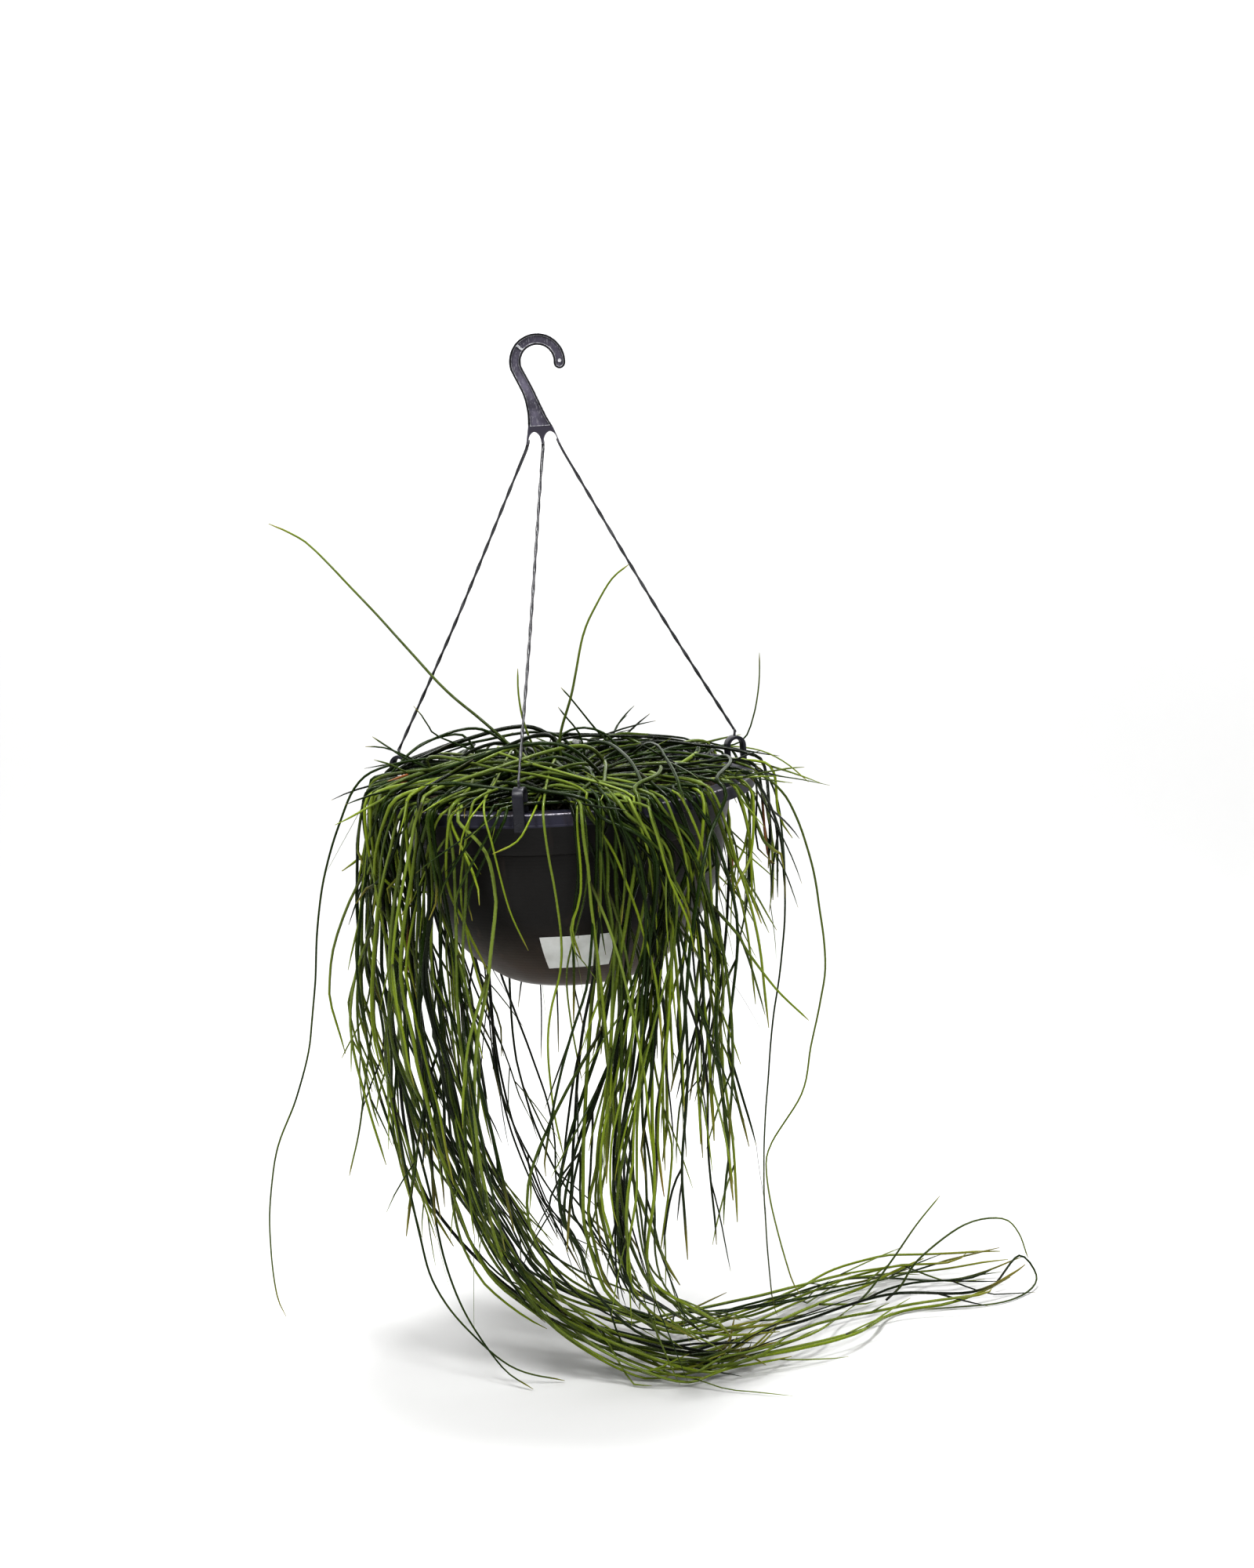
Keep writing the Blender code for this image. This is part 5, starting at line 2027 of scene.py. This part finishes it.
@dataclass
class Singles:
    """The single stems that stand up or hang clear of the rest, each through points in millimetres."""

    axes: PotAxes
    pot: Pot
    seed: int = 7
    step: float = 0.006
    shades: Pair = (0.35, 0.7)
    root_depth: float = 0.002
    # a stray stem's first point over the soil
    shoot: float = 0.008
    dry: tuple = (1.1, 0.5, 0.9)
    NAMES: ClassVar[tuple] = ("up_left", "up_short", "up_middle", "up_right", "far_left", "far_right",
                              "straight_right", "out_right")
    # Each rooted stem: thickness, root radius, root azimuth and further points.
    STRAYS: ClassVar[list] = [
        (1.2, 15, -114, (-8, 10, -290), (-40, 14, -262), (-70, 16, -236), (-118, 20, -183), (-155, 20, -143),
         (-172, 20, -131), (-188, 20, -123.5)),
        (1.1, 12.5, -37, (2, -12, -287), (-9, -12, -262), (-13, -12, -240), (-13.5, -12, -222)),
        (1.1, 4, 0, (15, -2, -272), (24, -4, -238), (32, -6, -200), (41, -8, -178), (52, -10, -159),
         (63.5, -12, -149)),
        (0.9, 17.5, 143, (45, 22, -292), (80, 40, -288), (120, 56, -288), (145, 60, -284), (153.5, 60, -266),
         (157, 60, -242), (157.5, 60, -219.6)),
        (1, 26.2, -77, (-26, -8, -288), (-72, -10, -285), (-110, -12, -292), (-128, -12, -306),
         (-140, -12, -334), (-151, -12, -370.5), (-156, -12, -404), (-158, -12, -444), (-163, -12, -490),
         (-173.5, -12, -530), (-187, -12, -565), (-193.5, -12, -605), (-193.5, -12, -640), (-190, -12, -676),
         (-184, -12, -692)),
        (1, 15.7, 67, (60, -8, -291), (105, -10, -289), (150, -12, -295), (170, -12, -308), (181, -12, -328),
         (190, -12, -355), (197, -12, -389), (202.5, -12, -429), (199.5, -12, -458), (193, -12, -492),
         (186.5, -12, -527), (166, -12, -562), (162, -12, -585), (168, -12, -620), (180, -12, -662),
         (188.5, -12, -677)),
        (0.9, 17, 104, (62, 8, -290), (108, 14, -288), (150, 18, -294), (166.5, 20, -312), (173, 20, -350),
         (174.5, 20, -420), (165, 15, -500), (161, 10, -580), (163, 10, -640), (168, 10, -685),
         (172, 10, -699)),
        (0.9, 18, 172, (40, 36, -290), (70, 62, -287), (120, 80, -290), (155, 88, -294), (176, 90, -303),
         (195, 90, -318)),
    ]
    # Stems that root below their first point, the front rim's first: thickness, shade and points.
    ROOTED: ClassVar[list] = [
        (1.2, 0.9, (24.3, 0, -289.9), (9.9, -60, -292.8), (4.5, -112, -297.3), (-1.3, -141, -307.4),
         (-9.4, -147, -318.8), (-25.2, -150, -326.1)),
        (1.1, 0.8, (-15.9, -10, -279.5), (-23.8, -70, -285.7), (-31.6, -118, -295.8), (-40.3, -141, -304.8),
         (-45.4, -143, -316.4), (-47.7, -142, -328.1)),
        (1.1, 0.9, (-24, -40, -290.1), (-30.7, -105, -293.8), (-31, -134, -301.7), (-26.6, -141, -317.8),
         (-22.1, -140, -339), (-15.3, -136, -366.1), (-6.3, -130, -388.6), (-3.3, -128, -395.5)),
        (1.2, 0.85, (13.9, 0, -285.5), (10.2, -70, -285.2), (8.4, -118, -291.5), (7.8, -140, -302.7),
         (10.9, -143, -327.9), (15.4, -140, -355.8), (18.7, -134, -387.7), (17.5, -130, -410),
         (11.6, -128, -437.7), (9.9, -128, -467.9), (13.4, -128, -506.9), (19.1, -128, -537.4)),
        (1, 0.5, (24.9, -30, -291.7), (31.5, -105, -293.8), (34.5, -138, -301), (36.6, -143, -320.1),
         (35, -140, -354.7), (26.5, -134, -387.7), (21.7, -130, -412.6), (24.7, -128, -442.6),
         (32.4, -126, -485.2)),
        (1.2, 0.4, (33.1, 0, -291.6), (44.4, -90, -291.5), (51, -138, -300), (57.7, -144, -321.5),
         (60.8, -142, -345.4), (58.2, -138, -376.3)),
        # the short stems and hoops that stand out of the crown
        (1.1, 0.35, (-50, 0, -304), (-69.8, 0, -296.6), (-91.7, 0, -287.1), (-102.6, 0, -279.9),
         (-115.7, 0, -271)),
        (1, 0.3, (-45, 20, -308), (-65.6, 20, -302.7), (-93.2, 20, -288.6), (-109.8, 20, -281.9),
         (-123.1, 20, -281.3)),
        (1.1, 0.45, (-48, -20, -308), (-68.6, -20, -301.6), (-90.3, -20, -293.3), (-101.1, -20, -287.8),
         (-113.1, -20, -284.5)),
        (0.9, 0.3, (-30, 20, -300), (-37.7, 20, -288.6), (-70.9, 20, -274.6), (-77.5, 20, -267.8),
         (-82.9, 20, -258.9), (-88.4, 20, -252.2)),
        (1.1, 0.4, (-38, 50, -302), (-44.8, 50, -293.3), (-55.9, 50, -278), (-81.3, 50, -281.9),
         (-94.8, 40, -290.1), (-105, 30, -302)),
        (1.2, 0.35, (-2, 30, -304), (-15.8, 30, -287.4), (-35.3, 30, -273.3), (-50.3, 30, -270.4),
         (-71.5, 30, -276.1), (-90.4, 20, -285.8), (-108.5, 0, -305), (-119, -20, -324)),
        (1, 0.3, (33, 30, -306), (31.6, 30, -287.4), (27.7, 30, -273.3), (18.9, 30, -262),
         (13.3, 30, -254.7)),
        (1, 0.3, (64, 50, -304), (56.7, 50, -291.6), (39.8, 50, -273.4), (29.7, 50, -260.9),
         (20.7, 50, -249.6), (14.6, 50, -242.8)),
        (1.2, 0.35, (64, 40, -306), (56.7, 40, -286.1), (45.5, 40, -274.8), (31.5, 40, -270.8),
         (17.7, 30, -273.3), (11.2, 20, -283), (6, 10, -305)),
        (0.9, 0.4, (-20, 50, -304), (-23.4, 50, -287.6), (-26.1, 50, -279.1), (-19.3, 50, -276.2)),
        (1.2, 0.4, (50, 70, -308), (62.3, 80, -298.1), (69.2, 85, -290.2), (88.1, 90, -289.8),
         (108.4, 95, -295.2), (128.4, 90, -304)),
    ]
    # The thin stems that leave the rest lower down.
    THIN: ClassVar[list] = [
        (1.1, 0.1, (-48.1, 0, -333), (-41.7, 60, -401.9), (-31.2, 85, -460.5), (-14.2, 90, -512),
         (2.1, 85, -556.4), (8.5, 80, -585.2), (9.2, 70, -615.5), (15.7, 60, -646.8)),
        (0.9, 0.55, (232, 66, -712), (242.8, 76, -706), (263.1, 85, -682.1), (279.2, 85, -657.5),
         (297.6, 85, -632.4)),
        (0.9, 0.55, (258, 82, -713), (269.6, 88, -704.1), (282.5, 90, -685), (317.5, 100, -660),
         (347.3, 110, -657.7), (362.1, 120, -672.8), (371.2, 130, -696.2)),
        (0.9, 0.45, (345, 120, -713.3), (364.6, 135, -696), (378.3, 135, -712), (369.7, 115, -717.5),
         (341.3, 90, -718), (286.3, 75, -718)),
        (1.2, 0.7, (117.6, -98, -368.4), (136.2, -100, -389.9), (144.2, -100, -403.5), (162.9, -100, -428.9),
         (185.9, -100, -450.7)),
        (1, 0.4, (-101, -60, -515.7), (-93.4, -60, -560.8), (-84.3, -65, -604.6), (-73.4, -70, -644),
         (-52.8, -72, -676.5), (-20.1, -74, -705.6), (18.2, -70, -718)),
        (1, 0.35, (-91, -50, -529.8), (-75.6, -60, -583.5), (-65.6, -70, -625.7), (-49.3, -75, -669.7),
         (-25.4, -78, -705), (-3.4, -85, -718)),
        (1, 0.5, (-112, -40, -410), (-114.5, -30, -444.7), (-116, -30, -469.6), (-122.7, -30, -514.4),
         (-126.5, -30, -544.7), (-134.3, -30, -581.4)),
        (0.9, 0.2, (-108, -35, -480), (-110.8, -30, -495.6), (-117.7, -30, -512.7), (-125.8, -30, -535.5)),
        (0.9, 0.6, (-110, -36, -390), (-113.1, -30, -419.4), (-121.4, -30, -461.6), (-138.4, -30, -495.6)),
        (1.1, 0.3, (120, 25, -296), (132.1, 30, -301.5), (146.3, 30, -332.7), (151, 30, -367),
         (147.9, 30, -401.4), (141.4, 30, -433.1)),
    ]
    # The short dried ends at the crown's left.
    DRY: ClassVar[list] = [
        [(-90, -20, -295), (-96, -26, -296), (-103.2, -30, -297.8)],
        [(-88, -26, -297.5), (-92.9, -30, -298.9), (-100, -34, -302)],
        [(-90, -36, -299), (-96, -38, -298.8), (-101, -42, -299.6)],
        [(-90.5, -14, -295.8), (-94.7, -20, -297.2), (-99, -26, -299)],
    ]

    def stems(self) -> list[Stem]:
        """Draws every single stem.

        Returns:
            The stems: the strays, the rooted and the thin ones, and the dried ends.
        """
        rng = np.random.default_rng(self.seed)
        found = []
        for radius, root, azimuth, *route in self.STRAYS:
            out = root / 1000
            soil = self.pot.soil_top(out)
            foot = [self.axes.point(out, azimuth, soil + height) for height in (-self.root_depth, self.shoot)]
            found.append(self.drawn(radius, float(rng.uniform(*self.shades)), route, foot))
        for radius, shade, *route in self.ROOTED:
            (right,), (front,), _ = self.axes.measures(np.array(route[:1]) / 1000)
            soil = self.pot.soil_top(math.hypot(right, front))
            foot = self.axes.spot(np.array((right, front)), soil - self.root_depth)
            found.append(self.drawn(radius, shade, route, [foot]))
        found += [self.drawn(radius, shade, route) for radius, shade, *route in self.THIN]
        radius, shade, dryness = self.dry
        for route in self.DRY:
            found.append(self.drawn(radius, shade, route))
            found[-1].dry += dryness
        return found

    def drawn(self, radius: float, shade: float, route: Sequence, foot: Sequence = ()) -> Stem:
        """A stem through the given points, which thins to its tip.

        Args:
            radius: its thickness at the start, in millimetres.
            shade: its shade, 0 dark to 1 light.
            route: its points, in millimetres.
            foot: points in metres that come before them.

        Returns:
            The stem.
        """
        points = smooth_route([*foot, *(np.array(route) / 1000)], [self.step])
        share = np.linspace(0, 1, len(points))
        thickness = radius / 1000 * (1.0 - 0.45 * share) * np.clip(0.3 + (1 - share) * 24.0, 0.3, 1.0)
        return Stem(points, thickness, shade, np.zeros(len(points)))


# ---- studio


@dataclass
class Studio:
    """A pale floor that rises into a backdrop, soft lights, and the camera."""

    floor: float
    camera_place: tuple = (0.0623, -2.0, 0.0297)
    camera_pitch: float = -9.5
    lens: float = 66.26
    backdrop: float = 2.4
    sweep_radius: float = 1.2
    side: float = 7.0
    top: float = 4.5
    front: float = 6.0
    surround: float = 0.14
    aim: tuple = (0.05, 0.0, -0.42)
    # each light's name, place, size and power in watts
    lamps: tuple = (
        ("key", (-0.9, -1.3, 1.9), 0.45, 36.0),
        ("soft", (-1.3, -1.2, 1.6), 1.5, 26.0),
        ("fill", (1.1, -1.7, 1.1), 0.6, 40.0),
        ("top", (0.1, 0.4, 2.2), 0.7, 58.0),
    )
    exposure: float = 0.35
    gamma: float = 0.8

    def camera(self) -> None:
        """Sets up the camera, level from side to side and looking a little down."""
        data = bpy.data.cameras.new("camera")
        data.sensor_fit = "VERTICAL"
        data.sensor_height = 36.0
        data.lens = self.lens
        camera = bpy.data.objects.new("camera", data)
        camera.location = self.camera_place
        camera.rotation_euler = (math.radians(90 + self.camera_pitch), 0, 0)
        bpy.context.scene.collection.objects.link(camera)
        bpy.context.scene.camera = camera

    def stage(self) -> None:
        """Builds the floor and backdrop as one seamless sheet."""
        centre = (self.backdrop - self.sweep_radius, self.floor + self.sweep_radius)
        curve = arc(self.sweep_radius, -math.pi / 2, 0.0, 24, centre)
        profile = [(-self.front, self.floor), *curve, (self.backdrop, self.top)]
        points = [(x, y, z) for x in (-self.side, self.side) for y, z in profile]
        wide = len(profile)
        faces = [(k, wide + k, wide + k + 1, k + 1) for k in range(wide - 1)]
        floor = mesh_object("studio_floor", plain_mesh("studio_floor", points, faces=faces))
        floor.data.shade_smooth()
        floor.data.materials.append(StudioFinish("studio_paper").make())

    def lights(self) -> None:
        """A dim surround, a key and a soft light from the upper left, one from the right, one from above."""
        world = bpy.data.worlds.new("studio")
        world.use_nodes = True
        background = world.node_tree.nodes["Background"]
        background.inputs["Color"].default_value = (*WHITE, 1.0)
        background.inputs["Strength"].default_value = self.surround
        bpy.context.scene.world = world
        for name, place, size, power in self.lamps:
            data = bpy.data.lights.new(name, "AREA")
            data.size = size
            data.energy = power
            lamp = bpy.data.objects.new(name, data)
            lamp.location = place
            lamp.rotation_euler = (Vector(self.aim) - Vector(place)).to_track_quat("-Z", "Y").to_euler()
            bpy.context.scene.collection.objects.link(lamp)

    def build(self) -> None:
        """Sets up the whole studio."""
        self.camera()
        self.stage()
        self.lights()
        view = bpy.context.scene.view_settings
        view.view_transform = "Standard"
        view.exposure, view.gamma = self.exposure, self.gamma


# ---- assembly


def main() -> None:
    """Builds the studio, the hanger, the pot and the plant."""
    logging.basicConfig(level=logging.INFO, format="%(name)s: %(message)s")
    floor = CAD_BOX[0][2]
    axes = PotAxes(frame["record"])
    Studio(floor).build()
    Hanger(axes).build()
    pot = Pot(axes)
    pot.build()
    Plant(axes, pot, floor).build()


if __name__ == "__main__":
    main()
